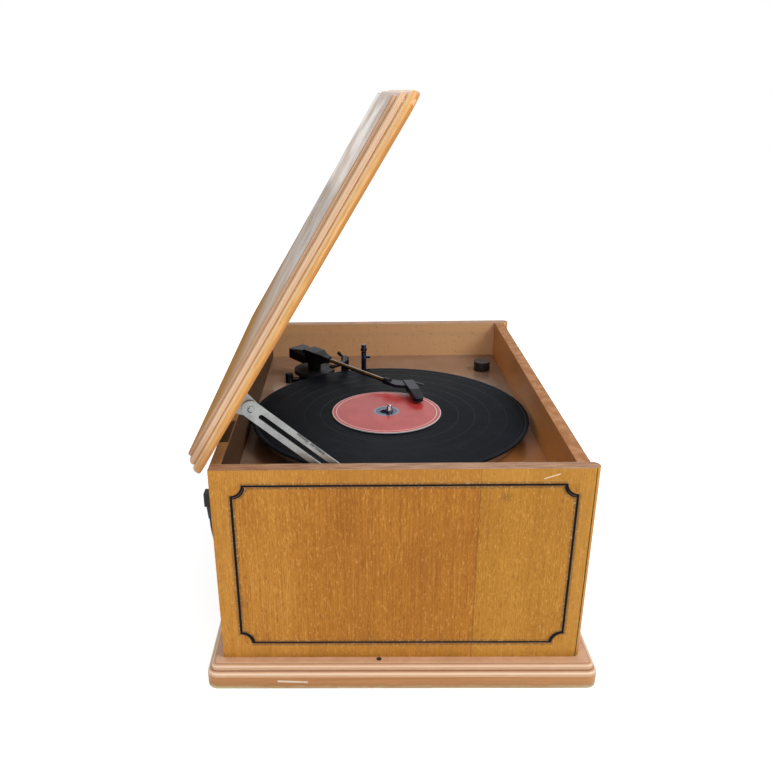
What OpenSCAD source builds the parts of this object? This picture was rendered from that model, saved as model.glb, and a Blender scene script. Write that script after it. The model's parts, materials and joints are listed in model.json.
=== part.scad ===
// Wooden music center: a record player under a hinged lid, with a radio dial,
// a disc drawer and two loudspeakers behind the front panel.
// Sizes are in millimetres. The origin lies on the floor under the middle of the
// cabinet, the front faces -Y, the lid is hinged at the back (+Y) and +Z is up.
// The model stands as photographed: lid open on its stay, arm over the disc.

/* [Cabinet] */
// Width over the side panels
cabinet_w = 470; // [456:1:520]
// Depth of the side panels
cabinet_d = 340; // [336:1:380]
// Height of the side panels
side_h = 200; // [192:1:240]
// Thickness of the side panels
side_t = 13; // [10:0.5:16]
// Thickness of the front panel
front_t = 12; // [9:0.5:14]
// Distance from the front ends of the side panels back to the front panel
front_setback = 7; // [4:0.5:10]
// Thickness of the back panel
back_t = 10; // [8:0.5:10.5]
// Thickness of the routed base board
base_t = 25; // [22:0.5:32]
// How far the base board reaches out past the panels
base_reach = 15.5; // [12:0.5:20]

/* [Inlay groove] */
// Width of the dark groove in the side panels
inlay_w = 2.2; // [1:0.1:4]
// Depth of the groove
inlay_depth = 0.8; // [0.4:0.1:2]
// Distance of the groove from the front and back edges of the panel
inlay_side = 17.5; // [12:0.5:40]
// Distance of the groove from the top edge
inlay_top = 14.5; // [8:0.5:40]
// Distance of the groove from the base board
inlay_bottom = 16; // [8:0.5:40]
// Radius of the groove's hollow corners
inlay_corner_r = 10.5; // [5:0.5:20]

/* [Routed edge] */
// Corner radius of the base board
base_corner_r = 10; // [9:0.5:20]
// Radius of the shoulder above the lid's plain fascia
shoulder_r = 4.5; // [3:0.1:4.6]
// Height of the groove over each shoulder
groove_h = 1; // [0.6:0.1:1.4]
// Depth of that groove
groove_d = 0.6; // [0.4:0.1:1.5]
// Radius of the lid's large bead
bead_r = 5; // [3:0.1:5.2]
// Width of the ledge behind the lid's bead
ledge_w = 1; // [0.5:0.1:1.4]
// Height of the lid's last step up to its top face
step_h = 3.2; // [2:0.1:3.4]
// Rounding of that step
step_r = 1.5; // [0.5:0.1:1.6]
// Radius of the shoulder above the base board's plain fascia
base_shoulder_r = 4; // [3:0.1:4.6]
// Radius of the base board's bead
base_bead_r = 3.2; // [2.4:0.1:3.6]
// Straight drop under that bead's round
base_bead_drop = 1.6; // [0.6:0.1:2.4]
// Width of the ledge behind that bead
base_ledge_w = 0.6; // [0.4:0.1:0.8]
// Height of the base board's last step up to its top face
base_step_h = 1.2; // [0.8:0.1:2]
// Rounding of that step
base_step_r = 0.5; // [0.3:0.1:0.6]

/* [Lid] */
// Corner radius of the lid
lid_corner_r = 20; // [14:0.5:24]
// Thickness of the lid board
lid_t = 17; // [16.5:0.5:26]
// Overhang of the lid past each side panel
lid_side_reach = 7.2; // [4:0.2:12]
// Overhang of the lid past the front ends of the side panels
lid_front_reach = 5; // [2:0.5:12]
// Overhang of the lid behind the hinge axis
lid_back_reach = 9; // [6:0.5:12]
// Gap between the panels' top edges and the closed lid
lid_gap = 1; // [0.8:0.1:2]
// Angle at which the lid stands open
lid_open = 58.5; // [50:0.5:62]

/* [Hinges] */
// Radius of the hinge barrel
barrel_r = 2.4; // [2.1:0.1:2.6]
// Radius of the hinge pin
hinge_pin_r = 1.2; // [0.8:0.1:1.4]
// Thickness of a hinge leaf
leaf_t = 1.2; // [0.8:0.1:1.4]
// Length of a hinge
hinge_len = 50; // [40:1:60]
// Distance of each hinge from the middle
hinge_x = 150; // [100:1:160]
// Height of the hinge axis above the middle of the lid gap
hinge_rise = 0; // [-0.1:0.05:0.1]
// Distance of the hinge axis behind the back panel
hinge_out = 3.8; // [3:0.1:4.2]

/* [Lid stay] */
// Distance from the hinge axis forward to the stay's rivet, lid closed
rivet_ahead = 64.5; // [58:0.5:70]
// Drop of the rivet below the lid board
rivet_drop = 10.8; // [10.2:0.1:12]
// Distance from the hinge axis forward to the wall stud
stud_ahead = 128.8; // [125:0.1:133]
// Drop of the wall stud below the hinge axis
stud_drop = 21.5; // [20:0.5:23]
// Width of the stay bar
stay_w = 16; // [12:0.5:16]
// Thickness of the stay bar
stay_t = 2; // [1.5:0.1:2.2]
// Width of the slot in the stay bar
slot_w = 5; // [4:0.1:6]
// Distance from the rivet to the start of the slot
slot_start = 9.2; // [8:0.1:14]
// Thickness of the lid bracket and the wall plate
plate_t = 1.5; // [1:0.1:1.6]
// Gap between the sliding parts of the stay
stay_gap = 0.3; // [0.2:0.05:0.4]

/* [Motor board] */
// Depth of the motor board below the top edge
deck_drop = 46.5; // [44:0.5:52]
// Thickness of the motor board
deck_t = 12; // [9:0.5:14]
// Side of the battens under the board
batten = 12; // [8:1:16]

/* [Turntable] */
// Record centre to the left of the middle
spindle_x = -37; // [-42:0.5:-34]
// Record centre behind the middle
spindle_y = 5; // [4:0.5:7]
// Radius of a 12-inch record
record_r = 150.8; // [148:0.1:151]
// Thickness of the record
record_t = 1.8; // [1.2:0.1:2.4]
// Radius of the record's label
label_r = 50; // [45:0.5:52]
// Depth by which the label and the grooves lie below the rim
record_step = 0.3; // [0.1:0.1:0.5]
// Radius of the platter
platter_r = 142; // [130:0.5:146]
// Height of the platter's rim
platter_h = 10; // [9:0.5:11]
// Thickness of the platter's plate and walls
platter_wall = 3; // [2:0.1:4]
// Gap between the motor board and the platter
platter_gap = 4.7; // [4:0.1:7]
// Radius of the platter's belt rim
belt_rim_r = 60; // [50:0.5:66]
// Thickness of the rubber mat
mat_t = 2; // [1:0.1:3]
// Radius of the spindle above the platter
spindle_r = 3.55; // [3:0.05:3.6]
// Radius of the bearing shaft below the platter
shaft_r = 4; // [3.7:0.1:5]
// Height of the spindle's tip above the record
spindle_tip = 9.5; // [8:0.5:18]
// Radius of a compact disc
cd_r = 60; // [60:0.5:60]
// Thickness of a compact disc
cd_t = 1.2; // [1.2:0.1:1.2]
// Radius of the disc's hole
cd_hole_r = 7.5; // [7.5:0.1:7.5]
// How far the loose disc lies towards +X of the spindle
cd_off_x = 1.8; // [-2:0.1:2]
// How far the loose disc lies behind the spindle
cd_off_y = 3.2; // [-3.3:0.1:3.3]

/* [Drive] */
// Distance from the spindle to the motor
motor_reach = 100; // [92:1:104]
// Direction of the motor from the spindle
motor_angle = 150; // [140:1:160]
// Radius of the motor pulley
pulley_r = 5; // [4:0.5:7]
// Width of the drive belt
belt_w = 4; // [3:0.5:4]
// Thickness of the drive belt
belt_t = 0.8; // [0.5:0.1:1.2]
// Radius of the motor can
motor_r = 18; // [14:0.5:22]
// Height of the motor can
motor_h = 26; // [20:1:34]
// Running clearance of the shafts
run_gap = 0.05; // [0.02:0.01:0.08]
// Clearance of parts that turn or slide past each other
part_gap = 0.3; // [0.2:0.05:0.4]

/* [Tonearm] */
// Arm pivot to the right of the middle
pivot_x = 122; // [118:0.5:126]
// Arm pivot behind the middle
pivot_y = 96; // [92:0.5:100]
// Height of the arm's pivot pin above the motor board
pivot_h = 35; // [34:0.5:36]
// Heading of the arm over the disc
arm_heading = -134.5; // [-137:0.5:-130]
// Downward slope of the arm
arm_pitch = 2.3; // [2.2:0.05:2.6]
// Radius of the arm base disc
arm_base_r = 26; // [22:0.5:27]
// Radius of the turret that carries the arm
turret_r = 8.5; // [7.5:0.1:9]
// Radius of the arm tube
tube_r = 2.4; // [2:0.1:2.8]
// Where the tube starts, ahead of the pivot
tube_start = 20; // [18:0.5:24]
// Where the arm moulding's neck ends, ahead of the pivot
neck_end = 29; // [27:0.5:33]
// Where the tube ends, ahead of the pivot
tube_end = 132; // [130:0.5:134]
// Half width of the arm's tail
tail_half_w = 13; // [10:0.5:14]
// Length of the tail behind the pivot
tail_len = 36; // [30:0.5:40]
// Radius of the pivot pin
pivot_pin_r = 1.5; // [1:0.1:2]
// Angle of the headshell against the tube
offset_angle = 33; // [30:1:35]
// Length of the straight part of the headshell
shell_len = 50; // [47:1:53]
// Half width of the headshell
shell_half_w = 6; // [5.7:0.1:6.6]

/* [Arm rest and controls on the board] */
// Arm rest post to the right of the middle
post_x = 133; // [131:0.5:136]
// Arm rest post behind the middle
post_y = 32; // [26:0.5:38]
// Radius of the post
post_r = 3.25; // [2.5:0.05:3.5]
// Height of the post
post_h = 44.5; // [42:0.5:50]
// Distance of the speed knob from the right panel
speed_side = 64; // [56:1:72]
// Distance of the speed knob from the front panel
speed_back = 25; // [16:1:34]
// Radius of the speed knob
speed_r = 10.5; // [8:0.5:13]
// Height of the speed knob
speed_h = 12; // [8:0.5:16]

/* [Front] */
// Width of the middle bay between the grilles
bay_w = 170; // [164:1:176]
// Gap between a grille frame and the side panel
grille_gap = 11; // [8:1:14]
// Height of the loudspeakers above the base board
speaker_z = 76; // [70:1:90]
// Radius of the loudspeaker openings
speaker_r = 44; // [40:1:46]
// Depth of a loudspeaker behind the front panel
speaker_deep = 54; // [50:1:60]
// Radius of a loudspeaker's magnet
magnet_r = 30; // [26:1:34]
// Height of a grille frame up to the spring of its arch
grille_h = 140; // [132:1:148]
// Height of the grille frames above the base board
grille_up = 18; // [14:1:24]
// Width of the wood round a grille
grille_rim = 11; // [8:1:12]
// Thickness of the grille and dial frames
frame_t = 6; // [5:0.5:6.5]
// Thickness of the grille cloth
cloth_t = 1.2; // [0.8:0.1:1.4]
// Gap between the dial frame and the grilles
dial_gap = 10; // [6:1:14]
// Height of the dial frame
dial_h = 64; // [56:1:70]
// Height of the dial's middle above the base board
dial_z = 150; // [148:1:152]
// Width of the dial frame's wood
dial_rim = 9; // [6:0.5:12]
// Travel of the dial pointer each way
pointer_travel = 50; // [40:1:52]
// Width of the disc drawer
drawer_w = 136; // [132:1:144]
// Height of the disc drawer's front
drawer_h = 18; // [16:1:20]
// Height of the drawer above the base board
drawer_z = 66; // [62:1:70]
// Travel of the drawer
drawer_travel = 130; // [110:1:132]
// Distance of each large knob from the middle
knob_x = 48; // [44:1:56]
// Height of the knobs and buttons above the base board
knob_z = 34; // [30:1:38]
// Radius of the large knobs
knob_r = 15; // [12:0.5:17]
// Height of the large knobs
knob_h = 14; // [10:0.5:18]
// Travel of a push button
button_travel = 2.5; // [1.5:0.5:3]
// Width of a push button
button_w = 16; // [12:1:18]
// Height of a push button
button_h = 9; // [7:0.5:12]
// Distance of each button from the middle
button_x = 13; // [11:1:15]

/* [Rear] */
// Width of the rear cover
rear_w = 300; // [240:1:340]
// Height of the rear cover
rear_h = 110; // [90:1:120]
// Thickness of the rear cover
rear_t = 3; // [2:0.5:4]
// Overlap of the rear cover on the back panel
rear_lap = 12; // [8:1:16]

/* [Electronics] */
// Width of the transformer
transformer_w = 52; // [44:1:60]
// Depth of the transformer
transformer_d = 40; // [34:1:46]
// Height of the transformer
transformer_h = 40; // [34:1:48]
// Distance of the transformer from the right panel
transformer_side = 72; // [50:1:90]
// Distance of the transformer from the back panel
transformer_back = 60; // [40:1:80]
// Width of the amplifier board
amp_w = 120; // [100:1:140]
// Depth of the amplifier board
amp_d = 90; // [80:1:100]
// Distance of the amplifier board's middle from the left panel
amp_side = 112; // [100:1:130]
// Distance of the amplifier board's middle from the back panel
amp_back = 90; // [80:1:100]
// Height of the heat sink
sink_h = 34; // [26:1:40]
// Height of the amplifier's capacitors
cap_h = 24; // [16:1:30]

/* [Power cord] */
// Diameter of the cord
cord_d = 6.5; // [6.5:0.1:6.5]
// Distance of the cord's gland from the left panel's outer face
gland_in = 30; // [30:1:30]
// Height of the lower end of the gland's sleeve
gland_z = 162; // [162:1:162]
// Radius of the outer turn of the coil
coil_r = 43; // [43:1:43]
// Distance between neighbouring turns
coil_pitch = 7; // [7:0.1:7]
// Turns in each layer of the coil
layer_turns = 2.5; // [2.5:1:2.5]

/* [Hidden] */
$fn = 64;
eps = 0.01;

// Planes of the cabinet
side_x = cabinet_w / 2;
inner_x = side_x - side_t;
front_y = -cabinet_d / 2;
back_y = cabinet_d / 2;
panel_out_y = front_y + front_setback;
panel_in_y = panel_out_y + front_t;
back_in_y = back_y - back_t;
floor_z = base_t;
top_z = base_t + side_h;
deck_z = top_z - deck_drop;
deck_under = deck_z - deck_t;
speed_x = inner_x - speed_side;
speed_y = panel_in_y + speed_back;

// Hinge and lid
hinge_y = back_y + hinge_out;
hinge_z = top_z + lid_gap / 2 + hinge_rise;
lid_z = top_z + lid_gap;
lid_w = cabinet_w + 2 * lid_side_reach;
lid_front_y = front_y - lid_front_reach;
lid_back_y = hinge_y + lid_back_reach;
lid_d = lid_back_y - lid_front_y;
leaf_gap = 0.1;
leaf_front = hinge_y - 12.8;
barrel_clear = 0.3;
knuckles = 5;

// Lid stay, in the plane of the lid's swing
rivet_y = hinge_y - rivet_ahead;
rivet_z = lid_z - rivet_drop;
rivet_r = 2;
bracket_w = 22;
bracket_r = 7.4;
flange_w = 14;
rest_rivet = [
    hinge_y + (rivet_y - hinge_y) * cos(lid_open) + (rivet_z - hinge_z) * sin(lid_open),
    hinge_z - (rivet_y - hinge_y) * sin(lid_open) + (rivet_z - hinge_z) * cos(lid_open)];
stud_y = hinge_y - stud_ahead;
stud_z = hinge_z - stud_drop;
stay_run = norm([rest_rivet[0] - stud_y, rest_rivet[1] - stud_z]);
stay_angle = atan2(rest_rivet[1] - stud_z, rest_rivet[0] - stud_y);
stud_r = slot_w / 2 - 0.2;
slot_end = stay_run + slot_w / 2 + 0.5;
stay_len = slot_end + stay_w / 2 - slot_w / 2 + 1;
stud_flange = 0.6;
stay_x = -inner_x + plate_t + stay_gap + stud_flange + stay_gap;
bracket_x = stay_x + stay_t + stay_gap;

// Turntable levels, from the board up
platter_z = deck_z + platter_gap;
platter_top = platter_z + platter_h;
mat_top = platter_top + mat_t;
record_top = mat_top + record_t;
cd_top = record_top + cd_t;
hub_r = 12;
hub_h = 6;
bearing_r = 9;
bearing_len = 22;
motor_x = spindle_x + motor_reach * cos(motor_angle);
motor_y = spindle_y + motor_reach * sin(motor_angle);
motor_shaft_r = 1.5;
belt_z = platter_z + 1;
pulley_flange = 1.2;

// Tonearm levels
pivot_z = deck_z + pivot_h;
arm_disc_z = deck_z + 12;
arm_disc_t = 4.5;
arm_stud_at = [-7, 32.5];
arm_stud_r = 5;
arm_stud_h = 12.5;
turret_z = arm_disc_z + arm_disc_t + part_gap;
body_low = -10.5;
turret_top = pivot_z + body_low - 1.8;
cap_half_w = 9;
post_half_w = 4;
pin_len = 2 * (cap_half_w - 1);
lift_r = 40;
lift_half_w = 3;
lift_top = pivot_z - lift_r * tan(arm_pitch) - tube_r - 0.9;
lift_post_angle = -80;
lever_z = lift_top - 6;
clip_z = pivot_z + 1.5;
shell_at = [tube_end + 13.4, 16.5];
shell_low = -5;
shell_top = 3;
seat = -1;

// Front layout, in heights above the floor
grille_w = inner_x - grille_gap - bay_w / 2;
speaker_x = bay_w / 2 + grille_w / 2;
dial_w = bay_w - 2 * dial_gap;
speaker_cz = floor_z + speaker_z;
grille_z = floor_z + grille_up;
dial_cz = floor_z + dial_z;
drawer_cz = floor_z + drawer_z;
knob_cz = floor_z + knob_z;
cloth_lap = 4;
scale_t = 1;
glass_t = 1.5;
pointer_slot_z = dial_cz - dial_h / 2 + dial_rim + 8;
tray_len = drawer_travel + 14;
tray_t = 6;
mech_wall = 2;
control_y = panel_in_y + 10;
pot_r = 8;
knob_shaft_r = 3;
speed_shaft_r = 3;
cord_r = cord_d / 2;
gland_x = gland_in - side_x;

// Points of a round about (x, y), from angle a0 to a1
function round_pts(x, y, r, a0, a1, n = 5) =
    [for (i = [0:n]) let (a = a0 + (a1 - a0) * i / n) [x + r * cos(a), y + r * sin(a)]];

// Routed edges of the lid and the base board: the radii of shoulder and bead, the drop
// under the bead, the ledge, and the height and rounding of the last step
lid_edge = [shoulder_r, bead_r, 0, ledge_w, step_h, step_r];
base_edge = [base_shoulder_r, base_bead_r, base_bead_drop, base_ledge_w, base_step_h, base_step_r];

// Routed edge from the corner's centre line out, for a board of thickness h with
// corners of radius r
function edge_profile(h, r, edge) =
    let (shoulder = edge[0], bead = edge[1], drop = edge[2], step = edge[4], round_r = edge[5],
         f = h - step - bead - drop - groove_h - shoulder,
         s = r - shoulder,
         b = s - bead,
         t = b - edge[3],
         top = f + shoulder + groove_h)
    concat(
        [[0, 0], [r - 0.8, 0], [r, 0.8]],
        round_pts(s, f, shoulder, 0, 90),
        [[s - groove_d, f + shoulder], [s - groove_d, top]],
        drop > 0 ? [[s, top]] : [],
        round_pts(b, top + drop, bead, 0, 90),
        [[t, h - step]],
        round_pts(t - round_r, h - round_r, round_r, 0, 90, 3),
        [[0, h]]);

// Board with the routed edge on all four sides, centred in X, its front at y = 0
module routed_board(w, d, h, r, edge) {
    cx = w / 2 - r;
    cy = d / 2 - r;
    translate([0, d / 2, 0]) {
        translate([-cx, -cy, 0]) cube([2 * cx, 2 * cy, h]);
        for (side = [0, 180]) {
            rotate([0, 0, side]) translate([cx, 0, 0]) rotate([90, 0, 0])
                linear_extrude(height = 2 * cy, center = true) polygon(edge_profile(h, r, edge));
            rotate([0, 0, side + 90]) translate([cy, 0, 0]) rotate([90, 0, 0])
                linear_extrude(height = 2 * cx, center = true) polygon(edge_profile(h, r, edge));
        }
        for (corner = [[1, 1, 0], [-1, 1, 90], [-1, -1, 180], [1, -1, 270]])
            translate([corner[0] * cx, corner[1] * cy, 0]) rotate([0, 0, corner[2]])
                rotate_extrude(angle = 90) polygon(edge_profile(h, r, edge));
    }
}

// Box from its lowest to its highest corner
module block(low, high) {
    translate(low) cube(high - low);
}

// Cylinder along +X from a point
module x_cylinder(p, r, len) {
    translate(p) rotate([0, 90, 0]) cylinder(r = r, h = len);
}

// Cylinder along -Y from a point, towards the front
module front_cylinder(p, r, len) {
    translate(p) rotate([90, 0, 0]) cylinder(r = r, h = len);
}

module base_board() {
    color("peru") translate([0, front_y - base_reach, 0])
        routed_board(cabinet_w + 2 * base_reach, cabinet_d + 2 * base_reach, base_t,
            base_corner_r, base_edge);
}

// Outline of the inlay: a rectangle with hollow round corners, shrunk by a margin
module inlay_outline(margin) {
    y0 = front_y + inlay_side + margin;
    z0 = floor_z + inlay_bottom + margin;
    len = cabinet_d - 2 * inlay_side - 2 * margin;
    high = side_h - inlay_top - inlay_bottom - 2 * margin;
    difference() {
        translate([y0, z0]) square([len, high]);
        for (y = [y0 - margin, y0 + len + margin])
            for (z = [z0 - margin, z0 + high + margin])
                translate([y, z]) circle(r = inlay_corner_r + margin);
    }
}

// Side panel with a rounded front end and the groove in its outer face
module side_panel(side) {
    difference() {
        translate([0, 0, floor_z]) linear_extrude(height = side_h) {
            translate([side > 0 ? inner_x : -side_x, front_y + side_t / 2])
                square([side_t, cabinet_d - side_t / 2]);
            translate([side * (inner_x + side_t / 2), front_y + side_t / 2])
                circle(r = side_t / 2);
        }
        translate([side > 0 ? side_x - inlay_depth : -side_x - 1, 0, 0])
            rotate([90, 0, 90]) linear_extrude(height = inlay_depth + 1) difference() {
                inlay_outline(0);
                inlay_outline(inlay_w);
            }
    }
}

module side_panel_left() {
    color("goldenrod") side_panel(-1);
}

module side_panel_right() {
    color("goldenrod") side_panel(1);
}

module front_panel() {
    color("peru") difference() {
        block([-inner_x, panel_out_y, floor_z], [inner_x, panel_in_y, top_z]);
        for (x = [-speaker_x, speaker_x])
            front_cylinder([x, panel_in_y + 1, speaker_cz], speaker_r, front_t + 2);
        for (x = [-knob_x, knob_x])
            front_cylinder([x, panel_in_y + 1, knob_cz], knob_shaft_r + 1.5, front_t + 2);
        for (x = [-button_x, button_x])
            button_hole(x);
        translate([0, panel_out_y + front_t / 2, drawer_cz])
            cube([drawer_w + 2 * part_gap, front_t + 2, drawer_h + 2 * part_gap], center = true);
        pointer_slot(front_t + 2);
    }
}

module button_hole(x) {
    translate([x, panel_out_y + front_t / 2, knob_cz])
        cube([button_w + 2 * part_gap, front_t + 2, button_h + 2 * part_gap], center = true);
}

// Slot behind the dial through which the pointer's stem reaches the carriage
module pointer_slot(deep) {
    translate([0, panel_out_y + front_t / 2, pointer_slot_z])
        cube([2 * pointer_travel + 8, deep, 4], center = true);
}

module back_panel() {
    color("peru") difference() {
        block([-inner_x, back_in_y, floor_z], [inner_x, back_y, top_z]);
        block([-rear_w / 2 + rear_lap, back_in_y - 1, floor_z + rear_lap],
            [rear_w / 2 - rear_lap, back_y + 1, floor_z + rear_h - rear_lap]);
        for (x = [-hinge_x, hinge_x]) {
            x_cylinder([x - hinge_len / 2 - 0.5, hinge_y, hinge_z], barrel_r + barrel_clear,
                hinge_len + 1);
            block([x - hinge_len / 2, leaf_front, hinge_z - leaf_gap - leaf_t],
                [x + hinge_len / 2, hinge_y, top_z + 1]);
        }
        front_cylinder([gland_x, back_y + 1, gland_z + 21], cord_r + 0.5, back_t + 2);
    }
}

module rear_cover() {
    slots = 9;
    slot_pitch = 18;
    color("tan") difference() {
        block([-rear_w / 2, back_y, floor_z], [rear_w / 2, back_y + rear_t, floor_z + rear_h]);
        for (i = [0:slots - 1])
            translate([(i - (slots - 1) / 2) * slot_pitch - 3, back_y - 1, floor_z + rear_h / 2 + 4])
                cube([6, rear_t + 2, rear_h / 2 - rear_lap - 12]);
        for (x = [-16, 16])
            front_cylinder([x, back_y + rear_t + 1, floor_z + rear_lap + 12], 5, rear_t + 2);
    }
    // Sockets for the line output, set in the cover
    color("dimgray") for (x = [-16, 16])
        translate([x, back_y + rear_t / 2, floor_z + rear_lap + 12]) rotate([90, 0, 0])
            difference() {
                cylinder(r = 5, h = rear_t + 6, center = true);
                translate([0, 0, -rear_t / 2 - 4]) cylinder(r = 2.5, h = rear_t + 4);
            }
}

module rear_screws() {
    color("silver") for (x = [-rear_w / 2 + rear_lap / 2, 0, rear_w / 2 - rear_lap / 2])
        for (z = [floor_z + rear_lap / 2, floor_z + rear_h - rear_lap / 2])
            translate([x, back_y + rear_t, z]) rotate([-90, 0, 0]) cylinder(r = 3, h = 1.6);
}

module motor_board() {
    color("sienna") difference() {
        block([-inner_x, panel_in_y, deck_under], [inner_x, back_in_y, deck_z]);
        translate([spindle_x, spindle_y, deck_under - 1]) cylinder(r = bearing_r, h = deck_t + 2);
        translate([motor_x, motor_y, deck_under - 1])
            cylinder(r = pulley_r + 2, h = deck_t + 2);
        translate([pivot_x, pivot_y, deck_under - 1]) cylinder(r = 6, h = deck_t + 2);
        translate([speed_x, speed_y, deck_under - 1])
            cylinder(r = speed_shaft_r + run_gap, h = deck_t + 2);
        translate([post_x, post_y, deck_z - 6]) cylinder(r = post_r, h = 7);
    }
}

module board_battens() {
    long = back_in_y - panel_in_y;
    color("burlywood") {
        for (side = [-1, 1]) {
            translate([side * (inner_x - batten / 2), panel_in_y + long / 2, deck_under - batten / 2])
                cube([batten, long, batten], center = true);
            for (y = [panel_in_y + batten / 2, back_in_y - batten / 2])
                translate([side * (inner_x - batten / 2), y, floor_z])
                    translate([-batten / 2, -batten / 2, 0])
                        cube([batten, batten, deck_under - batten - floor_z]);
        }
        translate([0, back_in_y - batten / 2, deck_under - batten / 2])
            cube([2 * (inner_x - batten), batten, batten], center = true);
    }
}

// Turns what is modelled on the closed lid up to where the lid stands open
module on_lid() {
    translate([0, hinge_y, hinge_z]) rotate([-lid_open, 0, 0])
        translate([0, -hinge_y, -hinge_z]) children();
}

module lid_board() {
    color("darkgoldenrod") on_lid() difference() {
        translate([0, lid_front_y, lid_z]) routed_board(lid_w, lid_d, lid_t, lid_corner_r, lid_edge);
        for (x = [-hinge_x, hinge_x]) {
            x_cylinder([x - hinge_len / 2 - 0.5, hinge_y, hinge_z], barrel_r + barrel_clear,
                hinge_len + 1);
            block([x - hinge_len / 2, leaf_front, lid_z - 1],
                [x + hinge_len / 2, hinge_y, hinge_z + leaf_gap + leaf_t]);
        }
        block([bracket_x, rivet_y - bracket_w / 2, lid_z - 1],
            [bracket_x + flange_w, rivet_y + bracket_w / 2, lid_z + plate_t]);
    }
}

// Knuckles of one leaf, from the first one given and every second one after it
module knuckle_row(x, first) {
    k = hinge_len / knuckles;
    for (i = [first:2:knuckles - 1])
        x_cylinder([x - hinge_len / 2 + i * k + 0.1, hinge_y, hinge_z], barrel_r, k - 0.2);
}

// One hinge leaf with its knuckles; up is 1 for the leaf on the lid and -1 below it
module hinge_leaf(x, up, first) {
    k = hinge_len / knuckles;
    z0 = up > 0 ? hinge_z + leaf_gap : hinge_z - leaf_gap - leaf_t;
    difference() {
        union() {
            block([x - hinge_len / 2, leaf_front, z0],
                [x + hinge_len / 2, hinge_y - barrel_r - barrel_clear, z0 + leaf_t]);
            for (i = [first:2:knuckles - 1])
                block([x - hinge_len / 2 + i * k + 0.1, leaf_front + 1, z0],
                    [x - hinge_len / 2 + (i + 1) * k - 0.1, hinge_y, z0 + leaf_t]);
            knuckle_row(x, first);
        }
        x_cylinder([x - hinge_len, hinge_y, hinge_z], hinge_pin_r + run_gap, 2 * hinge_len);
    }
}

module hinge_lower_leaves() {
    color("goldenrod") for (x = [-hinge_x, hinge_x]) hinge_leaf(x, -1, 0);
}

module hinge_upper_leaves() {
    color("goldenrod") on_lid() for (x = [-hinge_x, hinge_x]) hinge_leaf(x, 1, 1);
}

module hinge_pins() {
    color("silver") for (x = [-hinge_x, hinge_x])
        x_cylinder([x - hinge_len / 2 - 0.3, hinge_y, hinge_z], hinge_pin_r, hinge_len + 0.6);
}

// Plate that narrows from the lid to a round about the rivet, and its flange in the lid
module stay_bracket() {
    r = bracket_r;
    reach = norm([bracket_w / 2, rivet_drop]);
    lean = atan2(bracket_w / 2, rivet_drop) + acos(r / reach);
    color("silver") on_lid() difference() {
        union() {
            translate([bracket_x, rivet_y, rivet_z]) rotate([90, 0, 90])
                linear_extrude(height = plate_t) {
                    circle(r = r);
                    polygon([
                        [0, -r / 2], [r * sin(lean), r * cos(lean)], [bracket_w / 2, rivet_drop],
                        [-bracket_w / 2, rivet_drop], [-r * sin(lean), r * cos(lean)]]);
                }
            block([bracket_x, rivet_y - bracket_w / 2, lid_z - eps],
                [bracket_x + flange_w, rivet_y + bracket_w / 2, lid_z + plate_t]);
        }
        x_cylinder([bracket_x - 1, rivet_y, rivet_z], rivet_r + 0.02, plate_t + 2);
    }
}

module stay_rivet() {
    head_r = rivet_r + 1.2;
    head_t = 0.8;
    run = bracket_x + plate_t - stay_x;
    color("gainsboro") on_lid() {
        x_cylinder([stay_x - head_t, rivet_y, rivet_z], rivet_r, run + 2 * head_t);
        for (x = [stay_x - head_t, stay_x + run]) x_cylinder([x, rivet_y, rivet_z], head_r, head_t);
    }
}

// Places what is modelled along +Y from the rivet onto the stay's line at rest
module on_stay() {
    translate([0, rest_rivet[0], rest_rivet[1]]) rotate([stay_angle, 0, 0])
        mirror([0, 1, 0]) children();
}

// Flat bar with round ends in the plane of the stay, from distance a to distance b
module stay_bar_shape(a, b, w, x, t) {
    translate([x, 0, 0]) rotate([90, 0, 90]) linear_extrude(height = t) {
        translate([a, -w / 2]) square([b - a, w]);
        for (end = [a, b]) translate([end, 0]) circle(r = w / 2);
    }
}

module stay_arm() {
    color("darkgray") on_stay() difference() {
        stay_bar_shape(0, stay_len - stay_w / 2, stay_w, stay_x, stay_t);
        x_cylinder([stay_x - 1, 0, 0], rivet_r + run_gap, stay_t + 2);
        stay_bar_shape(slot_start + slot_w / 2, slot_end - slot_w / 2, slot_w, stay_x - 1,
            stay_t + 2);
    }
}

module stay_stud() {
    wall_side = -inner_x + plate_t + stay_gap;
    color("gainsboro") on_stay() {
        x_cylinder([wall_side, stay_run, 0], stud_r, stay_x + stay_t + stay_gap - wall_side);
        x_cylinder([wall_side, stay_run, 0], stud_r + 1.6, stud_flange);
        x_cylinder([stay_x + stay_t + stay_gap, stay_run, 0], stud_r + 2.4, 1.4);
    }
}

module stay_wall_plate() {
    color("silver") translate([-inner_x, stud_y, stud_z]) rotate([90, 0, 90])
        linear_extrude(height = plate_t) {
            translate([-8, -12]) square([16, 24]);
            for (z = [-12, 12]) translate([0, z]) circle(r = 8);
        }
}

module platter() {
    color("dimgray") translate([spindle_x, spindle_y, platter_z]) difference() {
        union() {
            translate([0, 0, platter_h - platter_wall]) cylinder(r = platter_r, h = platter_wall);
            difference() {
                cylinder(r = platter_r, h = platter_h);
                translate([0, 0, -1]) cylinder(r = platter_r - platter_wall, h = platter_h);
            }
            difference() {
                cylinder(r = belt_rim_r, h = platter_h - 1);
                translate([0, 0, -1]) cylinder(r = belt_rim_r - platter_wall, h = platter_h);
            }
            translate([0, 0, platter_h - hub_h]) cylinder(r = hub_r, h = hub_h);
        }
        translate([0, 0, -1]) cylinder(r = shaft_r + 0.02, h = platter_h + 2);
    }
}

module platter_mat() {
    color("black") translate([spindle_x, spindle_y, platter_top]) difference() {
        cylinder(r = platter_r - 1, h = mat_t);
        translate([0, 0, -1]) cylinder(r = shaft_r + part_gap, h = mat_t + 2);
    }
}

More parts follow.
